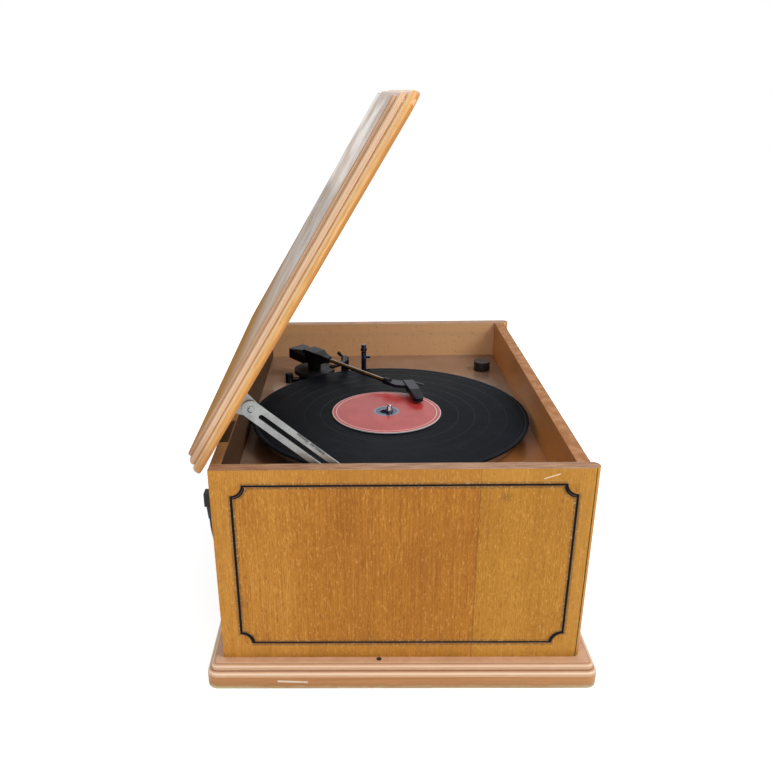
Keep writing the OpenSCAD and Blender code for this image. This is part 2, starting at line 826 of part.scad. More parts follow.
module record() {
    groove_in = label_r + 8;
    color("black") translate([spindle_x, spindle_y, mat_top]) rotate_extrude() polygon([
        [spindle_r + run_gap, 0], [record_r, 0], [record_r, record_t],
        [record_r - 3, record_t], [record_r - 4, record_t - record_step],
        [groove_in, record_t - record_step], [groove_in - 1, record_t],
        [spindle_r + run_gap, record_t]]);
}

module compact_disc() {
    color("indianred") translate([spindle_x + cd_off_x, spindle_y + cd_off_y, record_top])
        difference() {
            cylinder(r = cd_r, h = cd_t);
            translate([0, 0, -1]) cylinder(r = cd_hole_r, h = cd_t + 2);
        }
}

module spindle() {
    low = deck_under - 6;
    tip = record_top + spindle_tip;
    color("silver") translate([spindle_x, spindle_y, 0]) rotate_extrude() polygon(concat(
        [[0, low], [shaft_r, low], [shaft_r, mat_top - part_gap], [spindle_r, mat_top - part_gap],
         [spindle_r, tip - 5.5]],
        round_pts(spindle_r - 2.8, tip - 1.6, 1.6, 0, 90),
        [[0, tip]]));
}

module platter_bearing() {
    color("lightgray") translate([spindle_x, spindle_y, 0]) difference() {
        union() {
            translate([0, 0, deck_z - bearing_len]) cylinder(r = bearing_r, h = bearing_len);
            translate([0, 0, deck_z]) cylinder(r = bearing_r + 8, h = 2);
        }
        translate([0, 0, deck_under - 7]) cylinder(r = shaft_r + run_gap, h = deck_t + 12);
    }
}

module turntable_motor() {
    color("silver") translate([motor_x, motor_y, deck_under - motor_h]) difference() {
        cylinder(r = motor_r, h = motor_h);
        translate([0, 0, 4]) cylinder(r = motor_shaft_r + run_gap, h = motor_h);
    }
}

module motor_pulley() {
    low = deck_under - motor_h + 6;
    high = belt_z + belt_w;
    color("khaki") translate([motor_x, motor_y, 0]) {
        translate([0, 0, low]) cylinder(r = motor_shaft_r, h = high + 2 - low);
        translate([0, 0, belt_z - 1.5]) cylinder(r = pulley_r + pulley_flange, h = 1);
        translate([0, 0, belt_z - 0.5]) cylinder(r = pulley_r, h = belt_w + 1);
        translate([0, 0, high + 0.5]) cylinder(r = pulley_r + pulley_flange, h = 1);
    }
}

// Outline round the belt rim and the pulley, a distance away from both
module belt_outline(grow) {
    translate([spindle_x, spindle_y]) rotate(motor_angle) {
        rim = belt_rim_r + grow;
        wheel = pulley_r + grow;
        tilt = asin((rim - wheel) / motor_reach);
        polygon(concat(
            round_pts(0, 0, rim, 90 - tilt, 270 + tilt, 60),
            round_pts(motor_reach, 0, wheel, -90 + tilt, 90 - tilt, 16)));
    }
}

module drive_belt() {
    color("black") translate([0, 0, belt_z]) linear_extrude(height = belt_w) difference() {
        belt_outline(part_gap + belt_t);
        belt_outline(part_gap);
    }
}

// Places what is modelled along +X from the arm's pivot, level with the pivot pin
module on_arm() {
    translate([pivot_x, pivot_y, pivot_z]) rotate([0, 0, arm_heading])
        rotate([0, arm_pitch, 0]) children();
}

module arm_base() {
    boss_r = 5.9;
    post_at = lift_r * [cos(lift_post_angle), sin(lift_post_angle)];
    color("dimgray") translate([pivot_x, pivot_y, 0]) difference() {
        union() {
            translate([0, 0, deck_under]) cylinder(r = boss_r, h = deck_t + 1);
            translate([0, 0, deck_z]) cylinder(r = arm_base_r - 6, h = arm_disc_z - deck_z);
            translate([0, 0, arm_disc_z]) cylinder(r = arm_base_r, h = arm_disc_t);
            block([-4, post_at[1] - 5, deck_z], [post_at[0] + 8, -10, deck_z + 5]);
            translate([post_at[0] + 2, post_at[1], deck_z])
                translate([-6, -5, 0]) cube([12, 10, lever_z - 6 - deck_z]);
            for (x = [-4, 5])
                block([post_at[0] + x, post_at[1] - 5, lever_z - 7],
                    [post_at[0] + x + 3, post_at[1] + 5, lever_z + 3]);
            // Domed stud behind the disc, on a lug at board level
            block([-5, 10, deck_z], [5, arm_stud_at[1], deck_z + 3]);
            translate([arm_stud_at[0], arm_stud_at[1], deck_z]) rotate_extrude()
                polygon(concat([[0, 0], [arm_stud_r, 0]],
                    round_pts(arm_stud_r - 2, arm_stud_h - 2, 2, 0, 90), [[0, arm_stud_h]]));
        }
        translate([0, 0, deck_under - 1]) cylinder(r = 3 + run_gap, h = deck_t + 20);
        translate([post_at[0] - 10, post_at[1], lever_z - 1]) rotate([0, 90, 0])
            cylinder(r = 1 + run_gap, h = 24);
    }
}

// Turret that turns in the base, with the post that carries the arm's pin
module arm_turret() {
    shaft_r = 3;
    color("dimgray") translate([pivot_x, pivot_y, 0]) rotate([0, 0, arm_heading]) difference() {
        union() {
            translate([0, 0, deck_under + 1]) cylinder(r = shaft_r, h = turret_z - deck_under);
            translate([0, 0, turret_z]) cylinder(r = turret_r, h = turret_top - turret_z);
            translate([-4, -post_half_w, turret_top - 1])
                cube([8, 2 * post_half_w, pivot_z - turret_top + 4]);
        }
        translate([0, -20, pivot_z]) rotate([-90, 0, 0]) cylinder(r = pivot_pin_r + run_gap, h = 40);
    }
}

// Black arm moulding: low wide tail, raised cap over the pivot's post and a tapered neck
module arm_body() {
    nose_half_w = tube_r + 1.4;
    hollow = [13, 2 * post_half_w + 0.8, 5 - body_low];
    color("black") on_arm() {
        difference() {
            union() {
                intersection() {
                    translate([0, 20, 0]) rotate([90, 0, 0]) linear_extrude(height = 40)
                        polygon([
                            [-13, body_low], [12, body_low], [19, -3.6], [neck_end, -3.6],
                            [neck_end, 3.6], [21, 4.6], [14, 6], [10, 6.8], [-9, 6.8],
                            [-11.5, 5.6], [-13, 3]]);
                    translate([0, 0, -20]) linear_extrude(height = 40)
                        polygon([
                            [-13, cap_half_w - 1], [-11.5, cap_half_w], [11, cap_half_w],
                            [18, 5.6], [neck_end, nose_half_w], [neck_end, -nose_half_w],
                            [18, -5.6], [11, -cap_half_w], [-11.5, -cap_half_w],
                            [-13, 1 - cap_half_w]]);
                }
                arm_tail();
            }
            translate([tube_start, 0, 0]) rotate([0, 90, 0]) cylinder(r = tube_r, h = 20);
            translate([-hollow[0] / 2, -hollow[1] / 2, body_low - 1]) cube(hollow);
        }
        translate([0, pin_len / 2, 0]) rotate([90, 0, 0])
            cylinder(r = pivot_pin_r, h = pin_len);
    }
}

// Tail of the moulding: flat sides, rounded end corners and a top that falls to the sides
module arm_tail() {
    corner = 3.5;
    side = tail_half_w - corner;
    hull() {
        for (y = [-side, side]) translate([corner - tail_len, y, body_low + 0.8])
            cylinder(r = corner, h = 1.4 - body_low, $fn = 32);
        for (y = [-tail_half_w, tail_half_w - 1]) translate([-8, y, body_low - 0.5])
            cube([2, 1, -body_low]);
        translate([-14, -7, 0]) cube([6, 14, 4.2]);
    }
}

module arm_tube() {
    color("silver") on_arm() translate([tube_start, 0, 0]) rotate([0, 90, 0])
        cylinder(r = tube_r, h = tube_end - tube_start);
}

// Black headshell: a socket on the tube, an oblique flat neck and a slim angled shell whose
// top falls to the front
module headshell() {
    socket = 9;
    wall = 1.2;
    low_z = shell_low + 1;
    color("black") on_arm() difference() {
        union() {
            translate([tube_end - socket, 0, 0]) rotate([0, 90, 0]) cylinder(r = 4, h = socket);
            translate([0, 0, -1.8]) linear_extrude(height = 3.6) polygon([
                [tube_end - 7, -4], [tube_end - 8, 2], [tube_end - 1, 6], [tube_end + 8, 10.5],
                [shell_at[0] + 1, shell_at[1] - 1], [shell_at[0] + 10, shell_at[1] - 12],
                [tube_end + 13, -4.2]]);
            on_shell() hull() {
                translate([0, -shell_half_w, -1.8]) cube([1, 2 * shell_half_w, shell_top + 1.4]);
                translate([3, -shell_half_w, -1.8])
                    cube([26, 2 * shell_half_w, shell_top + 1.8]);
                translate([14, -shell_half_w, low_z]) cube([24, 2 * shell_half_w, 1]);
                translate([shell_len - shell_half_w, 0, shell_low])
                    cylinder(r = shell_half_w - 0.4, h = 4.2, $fn = 32);
            }
            // Finger lift
            on_shell() translate([7, shell_half_w - 1.5, shell_top - 1.4]) rotate([0, 0, 40])
                cube([14.5, 2.4, 1]);
        }
        translate([tube_end - socket - 1, 0, 0]) rotate([0, 90, 0])
            cylinder(r = tube_r, h = socket + 1);
        on_shell() translate([7, wall - shell_half_w, shell_low - 1])
            cube([shell_len - 15, 2 * (shell_half_w - wall), seat - shell_low + 1]);
    }
}

// Cartridge in the shell, with its stylus reaching down to the disc
module cartridge() {
    width = 2 * (shell_half_w - 1.8);
    tip_u = shell_len - 10;
    ahead = shell_at[0] + tip_u * cos(offset_angle);
    tip_z = (cd_top + part_gap - pivot_z + ahead * sin(arm_pitch)) / cos(arm_pitch);
    color("darkred") on_arm() on_shell() {
        translate([14, -width / 2, shell_low - 1.3]) cube([tip_u - 12, width, seat - shell_low + 1.3]);
        translate([tip_u - 0.6, -0.6, tip_z]) cube([1.2, 1.2, shell_low - tip_z]);
    }
}

module arm_rest_post() {
    cradle_top = pivot_z - norm([post_x - pivot_x, post_y - pivot_y]) * tan(arm_pitch)
        - tube_r - 0.7;
    color("midnightblue") translate([post_x, post_y, 0]) {
        translate([0, 0, deck_z - 6]) cylinder(r = post_r, h = post_h + 6);
        translate([0, 0, deck_z]) cylinder(r = post_r + 4, h = 2.5);
        // Ledge under the parked arm, and the lip beside the post
        translate([-post_r - 10, -3, cradle_top - 3]) cube([post_r + 10, 6, 3]);
        translate([-2, -post_r - 5, cradle_top - 3]) cube([4, post_r + 5, 3]);
    }
}

module arm_rest_clip() {
    color("black") translate([post_x, post_y, clip_z]) difference() {
        union() {
            cylinder(r = post_r + 1, h = 2.2);
            translate([-post_r - 9, -1.6, 0]) cube([post_r + 9, 3.2, 2.2]);
        }
        translate([0, 0, -1]) cylinder(r = post_r + run_gap, h = 5);
    }
}

// Places what is modelled along the headshell, from its back end
module on_shell() {
    translate([shell_at[0], shell_at[1], 0]) rotate([0, 0, -offset_angle]) children();
}

// Curved bar under the tube that raises the arm, carried by a stem in the base
module cue_lift_bar() {
    post_at = lift_r * [cos(lift_post_angle), sin(lift_post_angle)];
    from = -146;
    color("black") translate([pivot_x, pivot_y, 0]) {
        translate([0, 0, lift_top - 2.5]) rotate([0, 0, from])
            rotate_extrude(angle = lift_post_angle + 4 - from)
                translate([lift_r - lift_half_w, 0]) square([2 * lift_half_w, 2.5]);
        translate([post_at[0] - 0.7, post_at[1] - 1.5, lever_z + 1.3])
            cube([5.4, 3, lift_top - 2.5 - lever_z - 1.3 + eps]);
    }
}

module cue_lever() {
    post_at = lift_r * [cos(lift_post_angle), sin(lift_post_angle)];
    color("black") translate([pivot_x + post_at[0], pivot_y + post_at[1], lever_z - 1]) {
        translate([-3, 0, 0]) rotate([0, 90, 0]) cylinder(r = 1, h = 14);
        translate([-0.7, 0, 0]) rotate([0, 90, 0]) cylinder(r = 2, h = 5.4);
        translate([9, 0, 0]) rotate([45, 0, 0]) {
            translate([0, 0, -1.2]) cube([2, 9, 2.4]);
            translate([-1, 8, -1.8]) cube([4, 5, 3.6]);
            rotate([0, 90, 0]) cylinder(r = 2.4, h = 2);
        }
    }
}

module speed_knob() {
    color("black") translate([speed_x, speed_y, 0]) {
        translate([0, 0, deck_under - 3]) cylinder(r = speed_shaft_r, h = deck_t + 5);
        translate([0, 0, deck_z + part_gap]) difference() {
            cylinder(r = speed_r, h = speed_h);
            translate([-0.6, 0, speed_h - 0.8]) cube([1.2, speed_r + 1, 1]);
        }
    }
}

// Outline of a grille frame: a rectangle with an arched top
module grille_outline(inset) {
    w = grille_w - 2 * inset;
    rise = 24;
    r = (w * w / 4 + rise * rise) / (2 * rise);
    translate([-w / 2, inset]) square([w, grille_h - 2 * inset]);
    intersection() {
        translate([0, grille_h - inset + rise - r]) circle(r = r);
        translate([-w / 2, grille_h - inset - eps]) square([w, rise + 1]);
    }
}

// Places a front piece at a loudspeaker, its 2D outline upright and facing front
module at_grille(x, y) {
    translate([x, y, grille_z]) rotate([90, 0, 0]) children();
}

module grille_frames() {
    bar_w = 5;
    color("peru") for (x = [-speaker_x, speaker_x]) {
        at_grille(x, panel_out_y) difference() {
            linear_extrude(height = frame_t) difference() {
                grille_outline(0);
                grille_outline(grille_rim);
            }
            translate([0, 0, -1]) linear_extrude(height = cloth_t + part_gap + 1)
                grille_outline(grille_rim - cloth_lap - 0.2);
        }
        // Upright bars in front of the cloth, let into the frame
        at_grille(x, panel_out_y - cloth_t - part_gap) linear_extrude(height = 3)
            for (bar = [-26, 0, 26])
                translate([bar - bar_w / 2, grille_rim - eps])
                    square([bar_w, grille_h - 2 * grille_rim + 20]);
    }
}

module grille_cloths() {
    color("sienna") for (x = [-speaker_x, speaker_x])
        at_grille(x, panel_out_y) linear_extrude(height = cloth_t)
            grille_outline(grille_rim - cloth_lap);
}

// Places a loudspeaker's turned parts behind the front panel, facing the front
module at_speaker(x) {
    translate([x, panel_in_y, speaker_cz]) rotate([90, 0, 0]) children();
}

module speaker_frames() {
    rim = speaker_r + 7;
    magnet = speaker_deep - 16;
    color("gray") for (x = [-speaker_x, speaker_x]) at_speaker(x)
        rotate_extrude() polygon([
            [speaker_r - 1, 0], [rim, 0], [rim, -2.5], [speaker_r + 1.5, -2.5],
            [magnet_r - 6, 4 - magnet], [magnet_r - 6, -magnet], [magnet_r, -magnet],
            [magnet_r, -speaker_deep], [0, -speaker_deep], [0, 2 - magnet],
            [magnet_r - 9, 2 - magnet], [magnet_r - 9, 4.5 - magnet], [speaker_r - 1, -2]]);
}

module speaker_cones() {
    color("dimgray") for (x = [-speaker_x, speaker_x]) at_speaker(x)
        rotate_extrude() polygon(concat(
            [[speaker_r - 1.1, -0.2], [speaker_r - 1.1, -1.2], [speaker_r - 5, -4.5], [12, -26],
             [12, -34], [11, -34]],
            [[11, -25]],
            [for (i = [0:5]) [12 * cos(18 * i), -24 + 6 * sin(18 * i)]],
            [[0, -17], [0, -16.6]],
            [for (i = [0:5]) [13 * sin(18 * i), -23.4 + 6.6 * cos(18 * i)]],
            [[speaker_r - 5, -3.2]]));
}

module dial_frame() {
    color("peru") translate([0, panel_out_y, dial_cz]) rotate([90, 0, 0]) difference() {
        linear_extrude(height = frame_t) difference() {
            square([dial_w, dial_h], center = true);
            square([dial_w - 2 * dial_rim, dial_h - 2 * dial_rim], center = true);
        }
        // Rebate at the front for the glass
        translate([0, 0, frame_t - glass_t - 0.5]) linear_extrude(height = glass_t + 2)
            square([dial_w - 2 * dial_rim + 6, dial_h - 2 * dial_rim + 6], center = true);
    }
}

module dial_scale() {
    color("ivory") translate([0, panel_out_y, dial_cz]) rotate([90, 0, 0]) difference() {
        linear_extrude(height = scale_t)
            square([dial_w - 2 * dial_rim - 0.4, dial_h - 2 * dial_rim - 0.4], center = true);
        translate([0, pointer_slot_z - dial_cz, 0])
            cube([2 * pointer_travel + 8, 4, 10], center = true);
    }
}

// Pointer in front of the scale, its stem through the slot and its carriage behind
module dial_pointer() {
    high = dial_cz + dial_h / 2 - dial_rim - 4;
    color("red") {
        block([-0.8, panel_out_y - scale_t - 1.6, pointer_slot_z - 1.5],
            [0.8, panel_out_y - scale_t - 0.4, high]);
        block([-1.2, panel_out_y - scale_t - 1.2, pointer_slot_z - 1.5],
            [1.2, panel_in_y + 1, pointer_slot_z + 1.5]);
        block([-8, panel_in_y + part_gap, pointer_slot_z - 5],
            [8, panel_in_y + 4, pointer_slot_z + 5]);
    }
}

module dial_glass() {
    color("lightcyan", 0.4) translate([0, panel_out_y - frame_t + glass_t + 0.5, dial_cz])
        rotate([90, 0, 0]) linear_extrude(height = glass_t)
            square([dial_w - 2 * dial_rim + 5.6, dial_h - 2 * dial_rim + 5.6], center = true);
}

// Large knob with a fluted skirt line and its shaft back to the control
module front_knob(x) {
    translate([x, panel_out_y - 1, knob_cz]) rotate([90, 0, 0]) {
        rotate_extrude() polygon(concat(
            [[0, 0], [knob_r, 0], [knob_r, 3], [knob_r - 2, 4]],
            round_pts(knob_r - 5, knob_h - 2, 2, 0, 90, 4),
            [[0, knob_h]]));
        translate([0, 0, -front_t - 9]) cylinder(r = knob_shaft_r, h = front_t + 9.5);
    }
}

module volume_knob() {
    color("saddlebrown") front_knob(-knob_x);
}

module tuning_knob() {
    color("saddlebrown") front_knob(knob_x);
}

// Circuit board behind the knobs, with two controls and two switches on it
module control_board() {
    board_y = control_y + 12;
    color("darkgreen") {
        block([-knob_x - 14, board_y, floor_z], [knob_x + 14, board_y + 1.6, knob_cz + 18]);
    }
    color("silver") difference() {
        for (x = [-knob_x, knob_x]) {
            front_cylinder([x, board_y, knob_cz], pot_r, board_y - control_y + 2);
            front_cylinder([x, board_y, knob_cz], 4, board_y - panel_in_y);
        }
        for (x = [-knob_x, knob_x])
            front_cylinder([x, board_y - 2, knob_cz], knob_shaft_r + run_gap, 30);
    }
    color("black") for (x = [-button_x, button_x])
        block([x - 6, panel_in_y + 5 + button_travel, knob_cz - 5], [x + 6, board_y, knob_cz + 5]);
}

// Push button through the front panel, with a flange that stops it behind
module push_button(x) {
    block([x - button_w / 2, panel_out_y - 4.5, knob_cz - button_h / 2],
        [x + button_w / 2, panel_in_y + 1, knob_cz + button_h / 2]);
    block([x - button_w / 2 - 1.5, panel_in_y + part_gap, knob_cz - button_h / 2 - 1.5],
        [x + button_w / 2 + 1.5, panel_in_y + 2, knob_cz + button_h / 2 + 1.5]);
    block([x - 2, panel_in_y + 1, knob_cz - 2], [x + 2, panel_in_y + 4.7, knob_cz + 2]);
}

module play_button() {
    color("saddlebrown") push_button(-button_x);
}

module eject_button() {
    color("saddlebrown") push_button(button_x);
}

module cd_drawer() {
    tray_w = drawer_w - 4;
    color("dimgray") {
        block([-drawer_w / 2, panel_out_y - 2, drawer_cz - drawer_h / 2],
            [drawer_w / 2, panel_out_y + 3, drawer_cz + drawer_h / 2]);
        difference() {
            block([-tray_w / 2, panel_out_y + 3, drawer_cz - tray_t / 2],
                [tray_w / 2, panel_out_y + 3 + tray_len, drawer_cz + tray_t / 2]);
            translate([0, panel_out_y + 8 + cd_r, drawer_cz + tray_t / 2 - 2])
                cylinder(r = cd_r + 1, h = 4);
            translate([0, panel_out_y + 8 + cd_r, drawer_cz - tray_t]) cylinder(r = 15, h = 12);
            translate([-15, panel_out_y + 8 + cd_r, drawer_cz - tray_t]) cube([30, tray_len, 12]);
        }
    }
}

// Steel channel that guides the drawer, on four legs
module cd_mechanism() {
    half_w = drawer_w / 2 + 3;
    low = drawer_cz - tray_t / 2 - 6;
    high = drawer_cz + drawer_h / 2 + 2;
    deep = tray_len + 8;
    color("lightgray") {
        block([-half_w, panel_in_y, low], [half_w, panel_in_y + deep, low + mech_wall]);
        for (side = [-1, 1]) {
            translate([side > 0 ? half_w - mech_wall : -half_w, panel_in_y, low])
                cube([mech_wall, deep, high - low]);
            translate([side > 0 ? half_w - 8 : -half_w, panel_in_y, drawer_cz - tray_t / 2 - 3])
                cube([8, deep, 3 - part_gap]);
            for (y = [panel_in_y + 42, panel_in_y + deep - 8])
                translate([side * (half_w - 4) - 4, y, floor_z]) cube([8, 8, low - floor_z + 1]);
        }
        translate([0, panel_out_y + 8 + cd_r, low]) cylinder(r = 13, h = drawer_cz - low);
    }
}

module transformer() {
    w = transformer_w;
    d = transformer_d;
    color("slategray")
        translate([inner_x - transformer_side, back_in_y - transformer_back, floor_z]) {
            translate([-w / 2, -d / 2, 0]) cube([w, d, 3]);
            translate([4 - w / 2, -0.3 * d, 2]) cube([w - 8, 0.6 * d, transformer_h - 2]);
            translate([-0.27 * w, 1 - d / 2, 6]) cube([0.54 * w, d - 2, transformer_h - 12]);
        }
}

module amplifier_board() {
    lift = 6;
    board_t = 1.6;
    fins = 9;
    sink_w = 0.75 * amp_w;
    fin_pitch = (sink_w - 2) / (fins - 1);
    translate([amp_side - inner_x, back_in_y - amp_back, floor_z]) {
        color("darkgreen") {
            translate([-amp_w / 2, -amp_d / 2, lift]) cube([amp_w, amp_d, board_t]);
            for (x = [6 - amp_w / 2, amp_w / 2 - 6])
                for (y = [6 - amp_d / 2, amp_d / 2 - 6])
                    translate([x, y, 0]) cylinder(r = 3, h = lift + 0.5);
        }
        color("silver") translate([-sink_w / 2, amp_d / 2 - 13, lift + board_t / 2]) {
            cube([sink_w, 4, sink_h]);
            for (i = [0:fins - 1]) translate([fin_pitch * i, 3, 0]) cube([2, 8, sink_h]);
        }
        color("midnightblue") for (x = [-0.33 * amp_w, -0.15 * amp_w, 0.23 * amp_w])
            translate([x, -0.22 * amp_d, lift + board_t / 2]) cylinder(r = 8, h = cap_h);
    }
}

// Elbow gland in the back panel, its tapered sleeve pointing down the panel
module power_cord_gland() {
    y = back_y + cord_r + 2;
    color("black") {
        block([gland_x - 5.5, back_y, gland_z + 14], [gland_x + 5.5, y + 5.5, gland_z + 27]);
        front_cylinder([gland_x, back_y + 1, gland_z + 21], cord_r, back_t + 6);
        translate([gland_x, y, gland_z]) cylinder(r1 = cord_r + 0.6, r2 = 5, h = 14 + eps);
    }
}

// Route of the cord from the gland down behind the cabinet and round its back
// right corner, as points chosen by hand
cord_route = [
    [-205, 175.2, 162], [-203, 175.2, 150], [-196, 175.2, 134], [-187, 175.6, 116],
    [-177, 177.2, 98], [-164, 180, 80], [-148, 184, 62], [-129, 188.5, 44], [-107, 192, 27],
    [-83, 193, 13], [-58, 193, 5.2], [-33, 193, 3.45], [0, 193, 3.25], [60, 193, 3.25],
    [120, 193, 3.25], [180, 193, 3.25], [210, 193, 3.25], [228, 193, 3.25], [242.2, 190.2, 3.25],
    [254.2, 182.2, 3.25], [262.2, 170.2, 3.25], [265, 156, 3.25], [265, 146, 3.25],
    [265, 140, 3.25]];

// Point between p1 and p2 at t, on a smooth curve that also heeds p0 and p3
function smooth(p0, p1, p2, p3, t) =
    0.5 * (2 * p1 + (p2 - p0) * t + (2 * p0 - 5 * p1 + 4 * p2 - p3) * t * t
        + (3 * p1 - p0 - 3 * p2 + p3) * t * t * t);

// The route with steps points on each stretch between its own points
function smooth_path(pts, steps) = concat(
    [for (i = [0:len(pts) - 2])
        let (a = pts[max(i - 1, 0)], d = pts[min(i + 2, len(pts) - 1)])
            each [for (k = [0:steps - 1]) smooth(a, pts[i], pts[i + 1], d, k / steps)]],
    [pts[len(pts) - 1]]);

function unit(v) = v / norm(v);

// Direction of a path at each of its points
function path_dirs(p) = [for (i = [0:len(p) - 1])
    unit(p[min(i + 1, len(p) - 1)] - p[max(i - 1, 0)])];

// Rings of a round tube along a path; up is a direction that the path never takes
function tube_rings(p, dirs, r, sides, up) = [for (i = [0:len(p) - 1])
    let (a = unit(cross(dirs[i], up)), b = cross(dirs[i], a))
        each [for (k = [0:sides - 1])
            p[i] + r * (cos(360 * k / sides) * a + sin(360 * k / sides) * b)]];

// Closed tube from its rings
module tube(p, r, sides, up) {
    n = len(p);
    walls = [for (i = [0:n - 2]) for (k = [0:sides - 1])
        let (a = i * sides + k, b = i * sides + (k + 1) % sides)
            each [[a, a + sides, b + sides], [a, b + sides, b]]];
    first = [for (k = [1:sides - 2]) [0, k, k + 1]];
    end = (n - 1) * sides;
    last = [for (k = [1:sides - 2]) [end, end + k + 1, end + k]];
    polyhedron(tube_rings(p, path_dirs(p), r, sides, up), concat(walls, first, last));
}

// Length of a path
function path_len(p) = len(p) < 2 ? 0 : [for (i = [0:len(p) - 2]) norm(p[i + 1] - p[i])]
    * [for (i = [0:len(p) - 2]) 1];

// Coil: in along the floor, up half a turn, out again on top, straight at both ends
coil_rings = 24;
coil_turns = 2 * layer_turns + 0.5;
coil_y = cord_route[len(cord_route) - 1][1] - cord_d;
coil_x = cord_route[len(cord_route) - 1][0] + coil_r;
tail_straight = 34;
function coil_radius(t) = coil_r - coil_pitch * min(t, coil_turns - t);
function coil_height(t) = let (s = min(max((t - layer_turns) / 0.5, 0), 1))
    cord_r + coil_pitch * s * s * (3 - 2 * s);
coil_path = concat(
    [[coil_x - coil_r, coil_y + cord_d, cord_r]],
    [for (i = [0:coil_turns * coil_rings]) let (t = i / coil_rings, a = 180 + 360 * t)
        [coil_x + coil_radius(t) * cos(a), coil_y + coil_radius(t) * sin(a), coil_height(t)]],
    [[coil_x + coil_r, coil_y + cord_d, cord_r + coil_pitch],
     [coil_x + coil_r, coil_y + tail_straight, cord_r + coil_pitch]]);

// Least distance between turns, counted on points at least half a turn apart
coil_least = min([for (i = [0:len(coil_path) - 1]) for (k = [i + 12:len(coil_path) - 1])
    if (k < len(coil_path)) norm(coil_path[i] - coil_path[k])]) - cord_d;
run_path = smooth_path(cord_route, 2);

module power_cord_run() {
    color("black") tube(run_path, cord_r, 8, [1, 1, 1]);
}

module power_cord_coil() {
    echo(coil_least_gap = coil_least, cord_length = path_len(run_path) + path_len(coil_path));
    color("black") tube(coil_path, cord_r, 6, [0, 0, 1]);
}

// Two-pin plug lying beside the coil
module power_plug() {
    color("black") translate([coil_x + coil_r, coil_y + tail_straight, 0]) {
        translate([-9, 0, 0]) cube([18, 34, 2 * (cord_r + coil_pitch)]);
        for (x = [-6, 6])
            translate([x, 33, cord_r + coil_pitch]) rotate([-90, 0, 0]) cylinder(r = 2, h = 19);
    }
}

base_board();
side_panel_left();
side_panel_right();
front_panel();
back_panel();
rear_cover();
rear_screws();
motor_board();
board_battens();
lid_board();
hinge_lower_leaves();
hinge_upper_leaves();
hinge_pins();
stay_bracket();
stay_rivet();
stay_arm();
stay_stud();
stay_wall_plate();
platter();
platter_mat();
record();
compact_disc();
spindle();
platter_bearing();
turntable_motor();
motor_pulley();
drive_belt();
arm_base();
arm_turret();
arm_body();
arm_tube();
headshell();
cartridge();
arm_rest_post();
arm_rest_clip();
cue_lift_bar();
cue_lever();
speed_knob();
grille_frames();
grille_cloths();
speaker_frames();
speaker_cones();
dial_frame();
dial_scale();
dial_pointer();
dial_glass();
volume_knob();
tuning_knob();
control_board();
play_button();
eject_button();
cd_drawer();
cd_mechanism();
transformer();
amplifier_board();
power_cord_gland();
power_cord_run();
power_cord_coil();
power_plug();
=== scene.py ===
# Looks of the wooden music center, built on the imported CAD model
import json
import math

import bmesh
import bpy
from mathutils import Euler, Matrix, Vector


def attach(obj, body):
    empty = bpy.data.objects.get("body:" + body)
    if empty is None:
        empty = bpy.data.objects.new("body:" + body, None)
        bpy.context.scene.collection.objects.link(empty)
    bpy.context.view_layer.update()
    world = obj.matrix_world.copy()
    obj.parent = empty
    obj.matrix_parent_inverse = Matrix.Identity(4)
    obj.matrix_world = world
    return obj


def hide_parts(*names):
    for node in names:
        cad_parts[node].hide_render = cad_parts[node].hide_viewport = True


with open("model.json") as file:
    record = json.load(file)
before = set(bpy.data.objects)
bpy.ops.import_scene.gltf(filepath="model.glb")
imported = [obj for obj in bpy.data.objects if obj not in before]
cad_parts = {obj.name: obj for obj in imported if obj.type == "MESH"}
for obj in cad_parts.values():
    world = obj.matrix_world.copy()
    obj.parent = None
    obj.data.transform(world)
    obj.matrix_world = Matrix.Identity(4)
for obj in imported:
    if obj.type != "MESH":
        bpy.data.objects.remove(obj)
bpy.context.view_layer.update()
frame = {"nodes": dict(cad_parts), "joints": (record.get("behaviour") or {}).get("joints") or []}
NODES = frame["nodes"]
MM = 0.001


def box(name):
    """Least and greatest corner of a carried-over node, in millimetres."""
    corners = [v.co / MM for v in NODES[name].data.vertices]
    return [Vector([pick(c[i] for c in corners) for i in range(3)]) for pick in (min, max)]


# Places in millimetres, from the frame
SIDE, SIDE_INNER = box("side_panel_left")[0].x, box("side_panel_left")[1].x
RIM = box("side_panel_left")[1].z
BASE_SIDE = box("base_board")[0].x
BASE_TOP = box("base_board")[1].z
DECK_TOP = box("motor_board")[1].z
STAY_FACE = box("stay_arm")[0].x
PANEL_FRONT = box("front_panel")[0].y
KNOB_FACE = box("tuning_knob")[0].y
DIAL_FACE = box("dial_scale")[0].y
DIAL_Z = sum(corner.z for corner in box("dial_scale")) / 2

# Places in metres and angles, from the frame
JOINTS = {joint["name"]: joint for joint in frame["joints"]}
HINGE_Y, HINGE_Z = JOINTS["lid_hinge"]["pos_m"][1:]
LID_OPEN = math.radians(-JOINTS["lid_hinge"]["range_deg"][0])
STAY_RIVET_Y, STAY_RIVET_Z = JOINTS["stay_pivot"]["pos_m"][1:]
KNOB_X, KNOB_Z = JOINTS["tuning_turn"]["pos_m"][::2]
RECORD_AT = JOINTS["platter_spin"]["pos_m"]
DISC_AT = sum(box("compact_disc"), Vector()) / 2 * MM

# The inlay's groove in the side panels, in millimetres as in part.scad
INLAY_W, INLAY_SIDE, INLAY_TOP, INLAY_BOTTOM, INLAY_CORNER_R = 2.2, 17.5, 14.5, 16, 10.5

